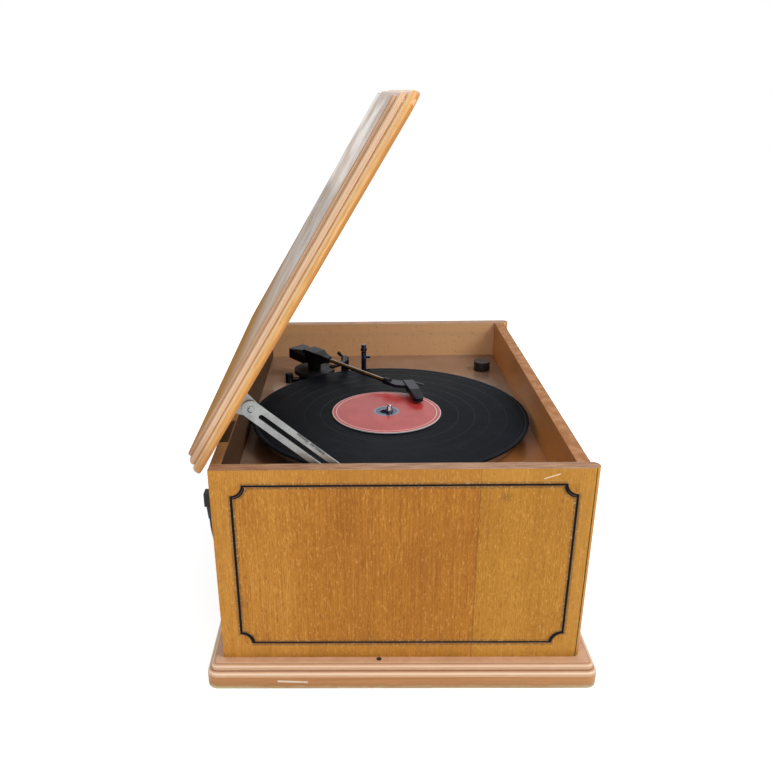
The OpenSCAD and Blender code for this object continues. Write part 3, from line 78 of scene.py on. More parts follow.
# The middle of the inlay's line in metres, and the radius of its hollow corners
INLAY_LOW = (BASE_TOP + INLAY_BOTTOM + INLAY_W / 2) * MM
INLAY_HIGH = (RIM - INLAY_TOP - INLAY_W / 2) * MM
INLAY_Z, INLAY_HALF_Z = (INLAY_HIGH + INLAY_LOW) / 2, (INLAY_HIGH - INLAY_LOW) / 2
INLAY_HALF_Y = (box("side_panel_left")[1].y - INLAY_SIDE - INLAY_W / 2) * MM
INLAY_HOLLOW = (INLAY_CORNER_R + INLAY_W / 2) * MM

VENEER_JOINT_Y = -0.0668  # in metres
LID_GAP = 1  # between the closed lid and the rim, in millimetres

KNOB_BROWN = (0.10, 0.042, 0.02)
FULL_TURN = 2 * math.pi
GROOVE_STEP = 0.00042  # between the rings that show on the record, in metres
WEAVE_STEP = 0.0012  # of the speaker cloth, in metres


def link(obj):
    """Put the object in the scene, and give it back."""
    bpy.context.scene.collection.objects.link(obj)
    return obj


# The photograph's viewpoint, in metres, degrees and millimetres of lens
CAMERA_AT = (-0.83953, 0.03788, 0.52534)
CAMERA_TILT, CAMERA_ROLL, CAMERA_TURN = 67.1208, 0.7940, -89.2261
LENS, SENSOR = 36.062, 36
SHIFT_X, SHIFT_Y = 0.05144, 0.03901


def make_camera():
    """Camera at the photograph's viewpoint."""
    cam = bpy.data.cameras.new("camera")
    cam.lens = LENS
    cam.sensor_width = SENSOR
    cam.shift_x = SHIFT_X
    cam.shift_y = SHIFT_Y
    cam.clip_start = 0.02
    obj = link(bpy.data.objects.new("camera", cam))
    aim = Euler([math.radians(a) for a in (CAMERA_TILT, CAMERA_ROLL, CAMERA_TURN)])
    obj.matrix_world = Matrix.LocRotScale(Vector(CAMERA_AT), aim, None)
    bpy.context.scene.camera = obj


make_camera()

# Power cord, in millimetres: along the back to the floor, round the right rear corner and
# into a coil of two layers
ROUTE = [
    (-205, 175.2, 162), (-203, 175.2, 150), (-196, 175.2, 134), (-187, 175.6, 116),
    (-177, 177.2, 98), (-164, 180, 80), (-148, 184, 62), (-129, 188.5, 44), (-107, 192, 27),
    (-83, 193, 13), (-58, 193, 5.2), (-33, 193, 3.45), (0, 193, 3.25), (60, 193, 3.25),
    (120, 193, 3.25), (180, 193, 3.25), (210, 193, 3.25), (228, 193, 3.25),
    (242.2, 190.2, 3.25), (254.2, 182.2, 3.25), (262.2, 170.2, 3.25), (265, 156, 3.25),
    (265, 146, 3.25), (265, 140, 3.25)]
ROUTE_STEPS = 8  # points per stretch of the route
CORD_R = 3.25
CORD_DRAWN_R = CORD_R - 0.02  # stays inside the solid
COIL_R = 43
COIL_RINGS = 48  # points per turn
PITCH = 7  # from one turn to the next, and from layer to layer
LAYER = 2.5  # turns in the lower layer
TURNS = 2 * LAYER + 0.5
LEAD = 34  # from the coil's middle to the plug
LEAST_STEP = 0.4  # points closer than this are dropped


def smooth_path(pts, steps):
    """Smooth curve through all the points."""
    pts = [Vector(p) for p in pts]
    out = []
    for i in range(len(pts) - 1):
        p0, p1, p2, p3 = pts[max(i - 1, 0)], pts[i], pts[i + 1], pts[min(i + 2, len(pts) - 1)]
        for k in range(steps):
            t = k / steps
            out.append(0.5 * (2 * p1 + (p2 - p0) * t + (2 * p0 - 5 * p1 + 4 * p2 - p3) * t * t
                              + (3 * p1 - p0 - 3 * p2 + p3) * t * t * t))
    out.append(pts[-1])
    return out


def coil_path(rings):
    """Spiral inwards on the floor, a rise of one layer, spiral outwards and the plug's lead."""
    cx, cy = ROUTE[-1][0] + COIL_R, ROUTE[-1][1] - 2 * CORD_R
    out = []
    for i in range(int(TURNS * rings) + 1):
        t = i / rings
        a = math.radians(180 + 360 * t)
        r = COIL_R - PITCH * min(t, TURNS - t)
        s = min(max((t - LAYER) / 0.5, 0), 1)
        out.append(Vector((cx + r * math.cos(a), cy + r * math.sin(a),
                           CORD_R + PITCH * s * s * (3 - 2 * s))))
    z = CORD_R + PITCH
    out.append(Vector((cx + COIL_R, cy + 2 * CORD_R, z)))
    out.append(Vector((cx + COIL_R, cy + LEAD, z)))
    return out


def loft(name, rings):
    """Closed mesh through rings of points in millimetres, with a face at each end."""
    sides = len(rings[0])
    faces = []
    for i in range(len(rings) - 1):
        for k in range(sides):
            a, b = i * sides + k, i * sides + (k + 1) % sides
            faces.append((a, b, b + sides, a + sides))
    faces.append(tuple(range(sides - 1, -1, -1)))
    faces.append(tuple((len(rings) - 1) * sides + k for k in range(sides)))
    me = bpy.data.meshes.new(name)
    me.from_pydata([p * MM for ring in rings for p in ring], [], faces)
    me.polygons.foreach_set("use_smooth", [True] * len(me.polygons))
    return link(bpy.data.objects.new(name, me))


def tube(name, path, radius, sides=16):
    """Tube along a path, with rings turned as little as possible from one to the next."""
    last = len(path) - 1
    dirs = [(path[min(i + 1, last)] - path[max(i - 1, 0)]).normalized()
            for i in range(len(path))]
    side = dirs[0].orthogonal().normalized()
    rings = []
    for middle, ahead in zip(path, dirs):
        side = (side - ahead * side.dot(ahead)).normalized()
        other = ahead.cross(side)
        angles = [FULL_TURN * k / sides for k in range(sides)]
        rings.append([middle + radius * (math.cos(a) * side + math.sin(a) * other)
                      for a in angles])
    return loft(name, rings)


cord_path = smooth_path(ROUTE, ROUTE_STEPS) + coil_path(COIL_RINGS)
cord_path = [p for i, p in enumerate(cord_path)
             if i == 0 or (p - cord_path[i - 1]).length > LEAST_STEP]
cord = tube("power_cord", cord_path, CORD_DRAWN_R)
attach(cord, "cabinet")
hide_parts("power_cord_run", "power_cord_coil")


class Mat:
    """A node material: every call adds nodes and gives back their output."""

    INPUTS = {"color": "Base Color", "rough": "Roughness", "metal": "Metallic",
              "coat": "Coat Weight", "coat_rough": "Coat Roughness",
              "spec": "Specular IOR Level", "tint": "Specular Tint", "aniso": "Anisotropic",
              "sheen": "Sheen Weight", "alpha": "Alpha", "normal": "Normal",
              "tangent": "Tangent"}

    def __init__(self, name):
        self.material = bpy.data.materials.new(name)
        self.material.use_nodes = True
        self.tree = self.material.node_tree
        self.shader = self.tree.nodes["Principled BSDF"]
        coords = self.add("ShaderNodeTexCoord")
        self.place = coords.outputs["Object"]
        self.facing = coords.outputs["Normal"]

    def add(self, kind, **props):
        node = self.tree.nodes.new(kind)
        for name, value in props.items():
            setattr(node, name, value)
        return node

    def put(self, socket, value):
        if isinstance(value, bpy.types.NodeSocket):
            self.tree.links.new(value, socket)
        else:
            socket.default_value = value

    def set(self, **values):
        """Set or link the shader's inputs, under the short names in INPUTS."""
        for name, value in values.items():
            self.put(self.shader.inputs[self.INPUTS[name]], self.rgba(value))

    @staticmethod
    def rgba(value):
        return (*value, 1) if isinstance(value, tuple) and len(value) == 3 else value

    def math(self, op, a, b=0.0, clamp=False):
        node = self.add("ShaderNodeMath", operation=op, use_clamp=clamp)
        self.put(node.inputs[0], a)
        self.put(node.inputs[1], b)
        return node.outputs[0]

    def mul(self, first, *others):
        for other in others:
            first = self.math("MULTIPLY", first, other)
        return first

    def plus(self, first, *others):
        for other in others:
            first = self.math("ADD", first, other)
        return first

    def minus(self, a, b):
        return self.math("SUBTRACT", a, b)

    def size(self, a):
        return self.math("ABSOLUTE", a)

    def gap(self, a, b):
        """Distance between two numbers."""
        return self.size(self.minus(a, b))

    def above(self, a, b):
        return self.math("GREATER_THAN", a, b)

    def below(self, a, b):
        return self.math("LESS_THAN", a, b)

    def most(self, a, b):
        return self.math("MAXIMUM", a, b)

    def least(self, a, b):
        return self.math("MINIMUM", a, b)

    def vmath(self, op, a, b=(0, 0, 0)):
        node = self.add("ShaderNodeVectorMath", operation=op)
        self.put(node.inputs[0], a)
        self.put(node.inputs["Scale" if op == "SCALE" else 1], b)
        return node.outputs["Value" if op in ("LENGTH", "DOT_PRODUCT") else 0]

    def from_point(self, at):
        return self.vmath("SUBTRACT", self.place, tuple(at))

    def length(self, x, y):
        return self.vmath("LENGTH", self.join(x, y, 0.0))

    def turned(self, v, angle):
        """The vector turned about the X axis."""
        node = self.add("ShaderNodeMapping")
        self.put(node.inputs["Vector"], v)
        node.inputs["Rotation"].default_value = (angle, 0, 0)
        return node.outputs[0]

    def xyz(self, v):
        node = self.add("ShaderNodeSeparateXYZ")
        self.put(node.inputs[0], v)
        return node.outputs

    def join(self, x, y, z):
        node = self.add("ShaderNodeCombineXYZ")
        for s, v in zip(node.inputs, (x, y, z)):
            self.put(s, v)
        return node.outputs[0]

    def stretch(self, xyz, *factors):
        """Three coordinates times three factors: a larger factor makes finer noise."""
        return self.join(*(self.mul(v, f) for v, f in zip(xyz, factors)))

    def noise(self, v, scale=1.0, detail=4.0, rough=0.5, distort=0.0):
        node = self.add("ShaderNodeTexNoise")
        for name, value in (("Vector", v), ("Scale", scale), ("Detail", detail),
                            ("Roughness", rough), ("Distortion", distort)):
            self.put(node.inputs[name], value)
        return node.outputs[0]

    def voronoi(self, v, scale):
        node = self.add("ShaderNodeTexVoronoi")
        self.put(node.inputs["Vector"], v)
        node.inputs["Scale"].default_value = scale
        return node.outputs["Distance"]

    def ramp(self, f, stops):
        node = self.add("ShaderNodeValToRGB")
        self.put(node.inputs[0], f)
        els = node.color_ramp.elements
        while len(els) < len(stops):
            els.new(0.5)
        for e, (p, c) in zip(els, stops):
            e.position = p
            e.color = self.rgba(c)
        return node.outputs[0]

    def step(self, v, a, b):
        """0 below a, 1 above b, with a soft edge between (a may be above b)."""
        node = self.add("ShaderNodeMapRange", interpolation_type="SMOOTHSTEP")
        self.put(node.inputs["Value"], v)
        node.inputs["From Min"].default_value = a
        node.inputs["From Max"].default_value = b
        return node.outputs[0]

    def band(self, v, low, high, rise, fall):
        """1 between low and high, with a soft edge inside each end."""
        return self.mul(self.step(v, low, low + rise), self.step(v, high, high - fall))

    def mix(self, f, a, b):
        """a where f is 0, b where it is 1: colors, or plain numbers."""
        node = self.add("ShaderNodeMix", data_type="RGBA")
        self.put(node.inputs[0], f)
        for s, v in ((node.inputs[6], a), (node.inputs[7], b)):
            self.put(s, self.rgba((v, v, v) if isinstance(v, (int, float)) else v))
        return node.outputs[2]

    def tint(self, color, mask, part, paint):
        """The color with some paint over it where the mask is 1."""
        return self.mix(self.mul(mask, part), color, paint)

    def bump(self, h, dist, strength):
        node = self.add("ShaderNodeBump")
        self.put(node.inputs["Height"], h)
        node.inputs["Distance"].default_value = dist
        node.inputs["Strength"].default_value = strength
        return node.outputs[0]

    def streak(self, p, q, width):
        """1 on the line from p to q, 0 outside width, all in millimetres in the frame."""
        p, q = Vector(p) * MM, Vector(q) * MM
        d = q - p
        from_p = self.from_point(p)
        t = self.math("DIVIDE", self.vmath("DOT_PRODUCT", from_p, tuple(d)), d.length_squared,
                      clamp=True)
        on = self.vmath("SCALE", tuple(d), t)
        off = self.vmath("LENGTH", self.vmath("SUBTRACT", from_p, on))
        return self.step(off, width * MM, width * MM * 0.4)

    def spot(self, p, radius, soft):
        """1 in the middle, 0 outside the radius; soft is the part that the edge takes."""
        off = self.vmath("LENGTH", self.from_point(Vector(p) * MM))
        return self.step(off, radius * MM, radius * MM * (1 - soft))


# Materials in general

def wood(name, dark, mid, light, grain="z", rough=0.34, coat=0.5, coat_rough=0.12, fine=1.0,
         band=1.0, turn=0.0, edges=False, marks=None, pore=0.5, seed=0.0, spec=0.25):
    """Lacquered wood. grain is the axis of its fibres; edges turns it along routed edges."""
    m = Mat(name)
    if turn:
        m.place, m.facing = m.turned(m.place, turn), m.turned(m.facing, turn)
    x, y, z = m.xyz(m.place)
    if edges:
        nx, ny, nz = m.xyz(m.facing)
        flat = m.above(m.size(nz), 0.97)
        pick = m.mul(m.above(m.size(nx), m.size(ny)), m.minus(1, flat))
        rest = m.minus(1, pick)
        along = m.plus(m.mul(pick, y), m.mul(rest, x))
        cross = m.plus(m.mul(pick, x), m.mul(rest, y))
        third = z
    else:
        along, cross, third = {"x": (x, y, z), "y": (y, x, z), "z": (z, y, x)}[grain]
    run = (m.plus(along, seed), cross, third)
    fibre = m.noise(m.stretch(run, 9 * fine, 420 * fine, 420 * fine), 1.0, 5, 0.62)
    bands = m.noise(m.stretch(run, 2.2 * band, 30 * band, 30 * band), 1.0, 4, 0.55, 0.7)
    cloud = m.noise(m.stretch(run, 5, 9, 9), 1.0, 2)
    pores = m.step(m.noise(m.stretch(run, 90, 1600, 1600), 1.0, 2), 0.60, 0.70)
    tone = m.plus(m.mul(fibre, 0.45), m.mul(bands, 0.35), m.mul(cloud, 0.2))
    color = m.ramp(tone, [(0.36, dark), (0.5, mid), (0.64, light)])
    color = m.tint(color, pores, pore, tuple(c * 0.45 for c in dark))
    roughness = m.plus(m.mul(fibre, 0.12), rough - 0.06)
    height = m.minus(m.mul(fibre, 0.5), m.mul(pores, 0.6))
    if marks:
        color, roughness, coat = marks(m, color, roughness, coat)
    m.set(color=color, rough=roughness, coat=coat, coat_rough=coat_rough, spec=spec,
          normal=m.bump(height, 0.00012, 0.55))
    return m.material


def plastic(name, color, rough=0.45, grit=700.0, bump=0.00004, coat=0.0, dust=0.0, spec=0.5,
            marks=None):
    """Plastic, rubber or painted paper with a fine grit and faint clouds."""
    m = Mat(name)
    cloud = m.noise(m.place, 35, 3, 0.6)
    paler = tuple(min(1, c * 1.25 + 0.004) for c in color)
    shade = m.mix(m.step(cloud, 0.35, 0.75), color, paler)
    if dust:
        lying = m.mul(m.step(m.xyz(m.facing)[2], 0.5, 1.0), m.step(cloud, 0.3, 0.7))
        shade = m.tint(shade, lying, dust, (0.25, 0.25, 0.26))
    if marks:
        shade = marks(m, shade)
    m.set(color=shade, rough=m.plus(m.mul(cloud, 0.16), rough - 0.08), coat=coat,
          coat_rough=0.1, spec=spec, normal=m.bump(m.noise(m.place, grit, 3, 0.6), bump, 0.5))
    return m.material


def metal(name, color, rough=0.3, stipple=0.0, tone=0.12, marks=None):
    """Metal with faint clouds, and dark pits where stipple is given."""
    m = Mat(name)
    darker, paler = (tuple(min(1, c * f) for c in color) for f in (1 - tone, 1 + tone))
    shade = m.mix(m.step(m.noise(m.place, 60, 3, 0.6), 0.3, 0.7), darker, paler)
    if stipple:
        pits = m.step(m.voronoi(m.place, 900), 0.35, 0.1)
        shade = m.tint(shade, pits, stipple, tuple(c * 0.45 for c in color))
    if marks:
        shade = marks(m, shade)
    grit = m.noise(m.place, 600, 4, 0.6)
    m.set(color=shade, rough=m.plus(m.mul(grit, 0.2), rough - 0.1), metal=1.0,
          normal=m.bump(grit, 0.00003, 0.4))
    return m.material


# Marks of wear and color that belong to one piece each

def knob_marks(m, color):
    """A pale line on the face of each front knob, and painted shade in the hollows round its rim.
    """
    x, y, z = m.xyz(m.place)
    side = m.minus(m.size(x), KNOB_X)
    up = m.minus(z, KNOB_Z)
    off = m.length(side, up)
    face = KNOB_FACE * MM
    # Painted shade in the hollows round the rim
    hollow_shade = m.mul(m.step(off, 0.0123, 0.0115), m.above(off, 0.0108), m.above(y, face + 0.0012))
    color = m.tint(color, hollow_shade, 0.5, tuple(c * 0.4 for c in KNOB_BROWN))
    line = m.mul(m.step(m.size(side), 0.0008, 0.0006), m.below(y, face + 0.0025),
                 m.band(up, 0.0038, 0.0102, 0.0004, 0.0004))
    return m.mix(line, color, (0.75, 0.68, 0.55))


def stay_marks(m, color):
    """A curled scratch on the rivet, two broken dark streaks on the upper rail, dirt in patches.
    """
    y, z = m.xyz(m.place)[1:]
    off = m.length(m.minus(y, STAY_RIVET_Y), m.minus(z, STAY_RIVET_Z))
    curl = m.mul(m.step(m.gap(off, 0.0021), 0.0008, 0.0003),
                 m.step(m.minus(y, m.mul(z, 0.4)), 0.0200, 0.0215))
    color = m.tint(color, curl, 0.85, (0.03, 0.03, 0.035))
    broken = m.step(m.noise(m.place, 300, 3, 0.6), 0.3, 0.46)
    # Two broken dark streaks along the upper rail
    rail_streaks = (((91, 252.2), (83, 245.4)), ((80, 242.4), (70, 233.4)))
    for p, q in rail_streaks:
        rub = m.mul(m.streak((STAY_FACE, *p), (STAY_FACE, *q), 1.9), broken)
        color = m.tint(color, rub, 0.75, (0.05, 0.055, 0.06))
    grime = m.step(m.noise(m.place, 75, 5, 0.7), 0.5, 0.68)
    return m.tint(color, grime, 0.5, (0.12, 0.12, 0.115))


def inlay_band(m, y, z, reach):
    """1 within reach of the inlay's line: straight runs between hollow round corners."""
    a = m.minus(m.size(y), INLAY_HALF_Y)
    b = m.minus(m.gap(z, INLAY_Z), INLAY_HALF_Z)
    upright = m.most(m.size(a), m.plus(b, INLAY_HOLLOW))
    level = m.most(m.size(b), m.plus(a, INLAY_HOLLOW))
    arc = m.most(m.gap(m.length(a, b), INLAY_HOLLOW), m.most(a, b))
    return m.step(m.least(arc, m.least(upright, level)), reach, reach * 0.45)


def side_veneer(m, color, x, y, z):
    """Veneer joint, a yellower front strip, stains, flecks, worn edges and a scratch."""
    front = m.step(y, VENEER_JOINT_Y + 0.0003, VENEER_JOINT_Y - 0.0004)
    color = m.tint(color, front, 0.3, (0.52, 0.27, 0.035))
    joint = m.step(m.gap(y, VENEER_JOINT_Y), 0.0009, 0.0002)
    color = m.tint(color, joint, 0.35, (0.13, 0.05, 0.01))
    stains = (((-89.8, 197.7), 8, 0.35), ((149, 88), 9, 0.3), ((-131, 60), 7, 0.25),
              ((30, 47), 12, 0.2))
    for at, radius, part in stains:
        color = m.tint(color, m.spot((SIDE, *at), radius, 0.9), part, (0.15, 0.065, 0.015))
    fleck = m.noise(m.stretch((x, y, z), 700, 700, 240), 1.0, 3, 0.6)
    color = m.tint(color, m.step(fleck, 0.57, 0.66), 0.42, (0.68, 0.36, 0.09))
    color = m.tint(color, m.step(fleck, 0.43, 0.34), 0.42, (0.19, 0.06, 0.006))
    patch = m.noise(m.stretch((x, y, z), 9, 14, 7), 1.0, 3, 0.6)
    color = m.tint(color, m.step(patch, 0.5, 0.7), 0.22, (0.24, 0.08, 0.008))
    border = m.most(m.step(m.gap(z, INLAY_Z), INLAY_HALF_Z + 0.0005, INLAY_HALF_Z + 0.0015),
                    m.step(m.size(y), INLAY_HALF_Y + 0.0004, INLAY_HALF_Y + 0.0014))
    color = m.tint(color, border, 0.2, (0.66, 0.34, 0.07))
    # Stain round the inlay, darkest at the line, and pale specks where its edge is worn
    color = m.tint(color, inlay_band(m, y, z, 0.0042), 0.55, (0.10, 0.045, 0.012))
    rag = m.step(m.noise(m.place, 420, 3, 0.7), 0.56, 0.62)
    color = m.tint(color, m.mul(inlay_band(m, y, z, 0.005), rag), 0.4, (0.62, 0.45, 0.24))
    scratch = m.streak((SIDE, -121, 215.4), (SIDE, -134, 219.8), 0.6)
    color = m.tint(color, scratch, 0.8, (0.85, 0.76, 0.6))
    # Grime above the base
    foot = BASE_TOP * MM
    low = m.mul(m.step(z, foot + 0.012, foot),
                m.step(m.noise(m.place, 55, 3, 0.6), 0.35, 0.6))
    return m.tint(color, low, 0.3, (0.16, 0.07, 0.02))


def side_marks(m, color, roughness, coat):
    """Veneer outside with its black inlay, solid edges, and a paler face inside."""
    x, y, z = m.xyz(m.place)
    nx, ny, nz = m.xyz(m.facing)
    color = side_veneer(m, color, x, y, z)
    # The inlay is sunk into the outer face, and ragged where it meets the veneer
    from_middle = m.size(x)
    outer, inner = -SIDE * MM, -SIDE_INNER * MM
    outside = m.above(from_middle, outer - 0.0009)
    sunk = m.step(from_middle, outer - 0.00015, outer - 0.0004)
    black = m.mul(sunk, outside, m.above(m.size(nx), 0.9))
    black = m.most(black, m.mul(inlay_band(m, y, z, 0.0015), outside))
    color = m.mix(black, color, (0.003, 0.003, 0.003))
    roughness = m.plus(roughness, m.mul(black, 0.3))
    # Solid pinkish edges at the top and the back, rubbed paler
    top = m.above(nz, 0.6)
    rub = m.step(m.noise(m.stretch((x, y, z), 700, 45, 90), 1.0, 4, 0.65), 0.38, 0.66)
    edge = m.mix(rub, (0.27, 0.135, 0.07), (0.46, 0.27, 0.16))
    color = m.mix(m.most(top, m.above(ny, 0.7)), color, edge)
    # The faces inside are a paler yellowish wood with brown specks
    inside = m.mul(m.below(from_middle, inner + 0.0005), m.minus(1, top))
    pale = m.mix(0.75, color, (0.77, 0.49, 0.275))
    specks = m.step(m.noise(m.place, 260, 4, 0.75), 0.60, 0.66)
    pale = m.tint(pale, specks, 0.5, (0.30, 0.15, 0.06))
    return m.mix(inside, color, pale), roughness, coat


def edge_grain(m):
    """Grain that runs level along a routed edge."""
    return m.step(m.noise(m.stretch(m.xyz(m.place), 60, 60, 900), 1.0, 4, 0.6), 0.3, 0.7)


def routed_bands(m, color, h, groove_shades, crest_highlights, dark, pale, soft):
    """Painted shade in each groove and painted highlight on each crest, between two heights each;
    soft is a crest's two edges.
    """
    # Painted shade in each groove
    for low, high, part in groove_shades:
        color = m.tint(color, m.band(h, low, high, 0.0004, 0.0004), part, dark)
    # Painted highlight on each crest
    for low, high, part in crest_highlights:
        color = m.tint(color, m.band(h, low, high, *soft), part, pale)
    return color


def base_marks(m, color, roughness, coat):
    """Golden fascia, pale pinkish shoulder and bead, painted shade in each groove, painted
    highlight and pale wear on each crest, a nail and chips.
    """
    y, z = m.xyz(m.place)[1:]
    grain = edge_grain(m)
    golden = m.mix(0.45, color, (0.44, 0.185, 0.05))
    pink = m.mix(grain, (0.545, 0.32, 0.185), (0.60, 0.365, 0.22))
    color = m.mix(m.step(z, 0.0132, 0.0145), golden, pink)
    flat = m.mul(m.above(m.xyz(m.facing)[2], 0.9), m.above(z, BASE_TOP * MM - 0.0003))
    color = m.mix(flat, color, m.mix(grain, (0.52, 0.29, 0.165), (0.60, 0.35, 0.21)))
    # Painted shade in each groove; painted highlight on each crest, which is also worn paler
    groove_shades = ((0.0176, 0.0192, 0.5), (0.0235, 0.0243, 0.45))
    crest_highlights = ((0.0157, 0.0175, 0.6), (0.0219, 0.0233, 0.6))
    color = routed_bands(m, color, z, groove_shades, crest_highlights, dark=(0.22, 0.075, 0.02),
                         pale=(0.88, 0.68, 0.52), soft=(0.0008, 0.0005))
    nail = m.spot((-237.8, 21.2, BASE_TOP), 3.0, 0.35)
    color = m.mix(nail, color, (0.02, 0.014, 0.012))
    rag = m.step(m.noise(m.place, 36, 6, 0.65), 0.33, 0.46)
    chips = (((117, 9.2), (90, 8.2), 1.5), ((60, 1.2), (20, 0.8), 1.4),
             ((-30, 0.9), (-96, 0.6), 1.3), ((150, 1.0), (128, 0.6), 1.5))
    for p, q, width in chips:
        chip = m.mul(m.streak((BASE_SIDE, *p), (BASE_SIDE, *q), width), rag)
        color = m.tint(color, chip, 0.8, (0.78, 0.66, 0.5))
        roughness = m.plus(roughness, m.mul(chip, 0.3))
    # Darker towards the foot, and a pale worn line along it, palest near the corners
    wave = m.mul(m.minus(m.noise(m.place, 60, 5, 0.65), 0.5), 0.008)
    foot = m.plus(z, wave)
    color = m.tint(color, m.step(foot, 0.0085, 0.0025), 0.65, (0.27, 0.125, 0.04))
    corner = m.step(m.size(y), 0.13, 0.185)
    pale = m.mul(m.step(foot, 0.0052, 0.0016), m.plus(m.mul(corner, 0.5), 0.4))
    return m.mix(pale, color, (0.52, 0.45, 0.25)), roughness, coat


def lid_trim(m, y, h):
    """The routed edge: golden fascia with painted shade at its lower edge, painted shade in each
    groove and painted highlight on each crest, worn at its front end and darker towards the hinge.
    """
    grain = edge_grain(m)
    golden = m.mix(grain, (0.62, 0.29, 0.075), (0.76, 0.42, 0.16))
    # Painted shade: the fascia is darker at its lower edge
    golden = m.mix(m.step(h, 0.0035, 0.0015), golden, (0.52, 0.215, 0.05))
    pink = m.mix(grain, (0.66, 0.39, 0.225), (0.74, 0.46, 0.28))
    trim = m.mix(m.step(h, 0.0086, 0.0092), golden, pink)
    tan = m.mix(grain, (0.50, 0.29, 0.16), (0.58, 0.345, 0.20))
    trim = m.mix(m.step(h, 0.0136, 0.014), trim, tan)
    # Painted shade in each groove; painted highlight on each crest
    groove_shades = ((0.0083, 0.0093, 0.55), (0.0133, 0.0142, 0.55), (0.0161, 0.0176, 0.5))
    crest_highlights = ((0.0058, 0.0082, 0.5), (0.0112, 0.0128, 0.5))
    trim = routed_bands(m, trim, h, groove_shades, crest_highlights, dark=(0.24, 0.09, 0.03),
                        pale=(0.92, 0.70, 0.46), soft=(0.001, 0.0006))
    blot = m.step(m.noise(m.place, 28, 5, 0.65), 0.58, 0.66)
    front_end = m.mul(m.step(y, -0.4385, -0.446), blot)
    trim = m.tint(trim, front_end, 0.7, (0.16, 0.07, 0.03))
    uneven = m.plus(y, m.mul(m.noise(m.place, 40, 3, 0.6), 0.03))
    return m.tint(trim, m.step(uneven, -0.14, -0.10), 0.45, (0.30, 0.12, 0.045))


def lid_marks(m, color, roughness, coat):
    """Routed edge, and a top face that is darker and glossier towards the front."""
    x, y, z = m.xyz(m.place)
    nz = m.xyz(m.facing)[2]
    # Height above the lid's underside, in the frame that is turned with the lid
    underside = (RIM + LID_GAP) * MM - HINGE_Z
    hinge = HINGE_Y * math.sin(LID_OPEN) + HINGE_Z * math.cos(LID_OPEN)
    h = m.minus(z, hinge + underside)
    face = m.mul(m.above(nz, 0.97), m.above(h, 0.0165))
    edge = m.minus(1, m.most(face, m.below(nz, -0.97)))
    front = m.step(y, -0.13, -0.30)
    veneer = m.mix(m.plus(m.mul(front, 0.2), 0.25), color, (0.19, 0.115, 0.05))
    color = m.mix(face, m.mix(edge, color, lid_trim(m, y, h)), veneer)
    cloud = m.noise(m.stretch((x, y, z), 5, 17, 1), 1.0, 4, 0.55)
    lively = m.plus(m.mul(m.step(cloud, 0.35, 0.65), 0.6), 0.55)
    shine = m.plus(m.mul(front, lively, 0.8), 0.02)
    return color, roughness, m.mix(face, coat, shine)


def deck_marks(m, color, roughness, coat):
    """Painted amber light at the front left, painted shade in the corner behind it, a paler front
    right, a scrape and dust.
    """
    x, y = m.xyz(m.place)[:2]
    # Painted light: amber where the light falls at the front left
    amber = m.mul(m.step(y, -0.06, -0.13), m.step(x, 0.03, -0.13))
    color = m.tint(color, amber, 0.9, (0.58, 0.225, 0.06))
    scrape = m.streak((168, -107.5, DECK_TOP), (140, -110, DECK_TOP), 1.3)
    color = m.tint(color, scrape, 0.7, (0.05, 0.03, 0.02))
    rose = m.mul(m.step(y, -0.02, -0.15), m.step(x, -0.14, 0.1))
    color = m.tint(color, rose, 0.4, (0.27, 0.17, 0.125))
    # Painted shadow of the lid in the back left corner
    painted_corner_shade = m.mul(m.step(y, 0.0, 0.12), m.step(x, -0.05, -0.17))
    color = m.tint(color, painted_corner_shade, 0.65, (0.06, 0.027, 0.016))
    dust = m.mul(m.step(m.noise(m.place, 30, 4, 0.7), 0.4, 0.75), m.above(m.xyz(m.facing)[2], 0.9))
    return m.tint(color, dust, 0.22, (0.42, 0.34, 0.29)), roughness, coat


def front_marks(m, color, roughness, coat):
    """The top edge is greyed by handling; the face inside is paler."""
    ny, nz = m.xyz(m.facing)[1:]
    top = m.above(nz, 0.6)
    rub = m.step(m.noise(m.place, 90, 4, 0.65), 0.4, 0.66)
    color = m.mix(top, color, m.mix(rub, (0.33, 0.145, 0.055), (0.46, 0.235, 0.115)))
    tone = m.mix(m.step(m.xyz(m.place)[2], 0.222, 0.185), (0.46, 0.23, 0.10), (0.66, 0.33, 0.11))
    color = m.tint(color, m.above(ny, 0.6), 0.65, tone)
    return color, m.plus(roughness, m.mul(top, 0.25)), m.mix(top, coat, 0.0)


def back_marks(m, color, roughness, coat):
    """The face inside is darkened: painted shade."""
    inside = m.below(m.xyz(m.facing)[1], -0.7)
    return m.tint(color, inside, 0.9, (0.036, 0.017, 0.009)), roughness, coat


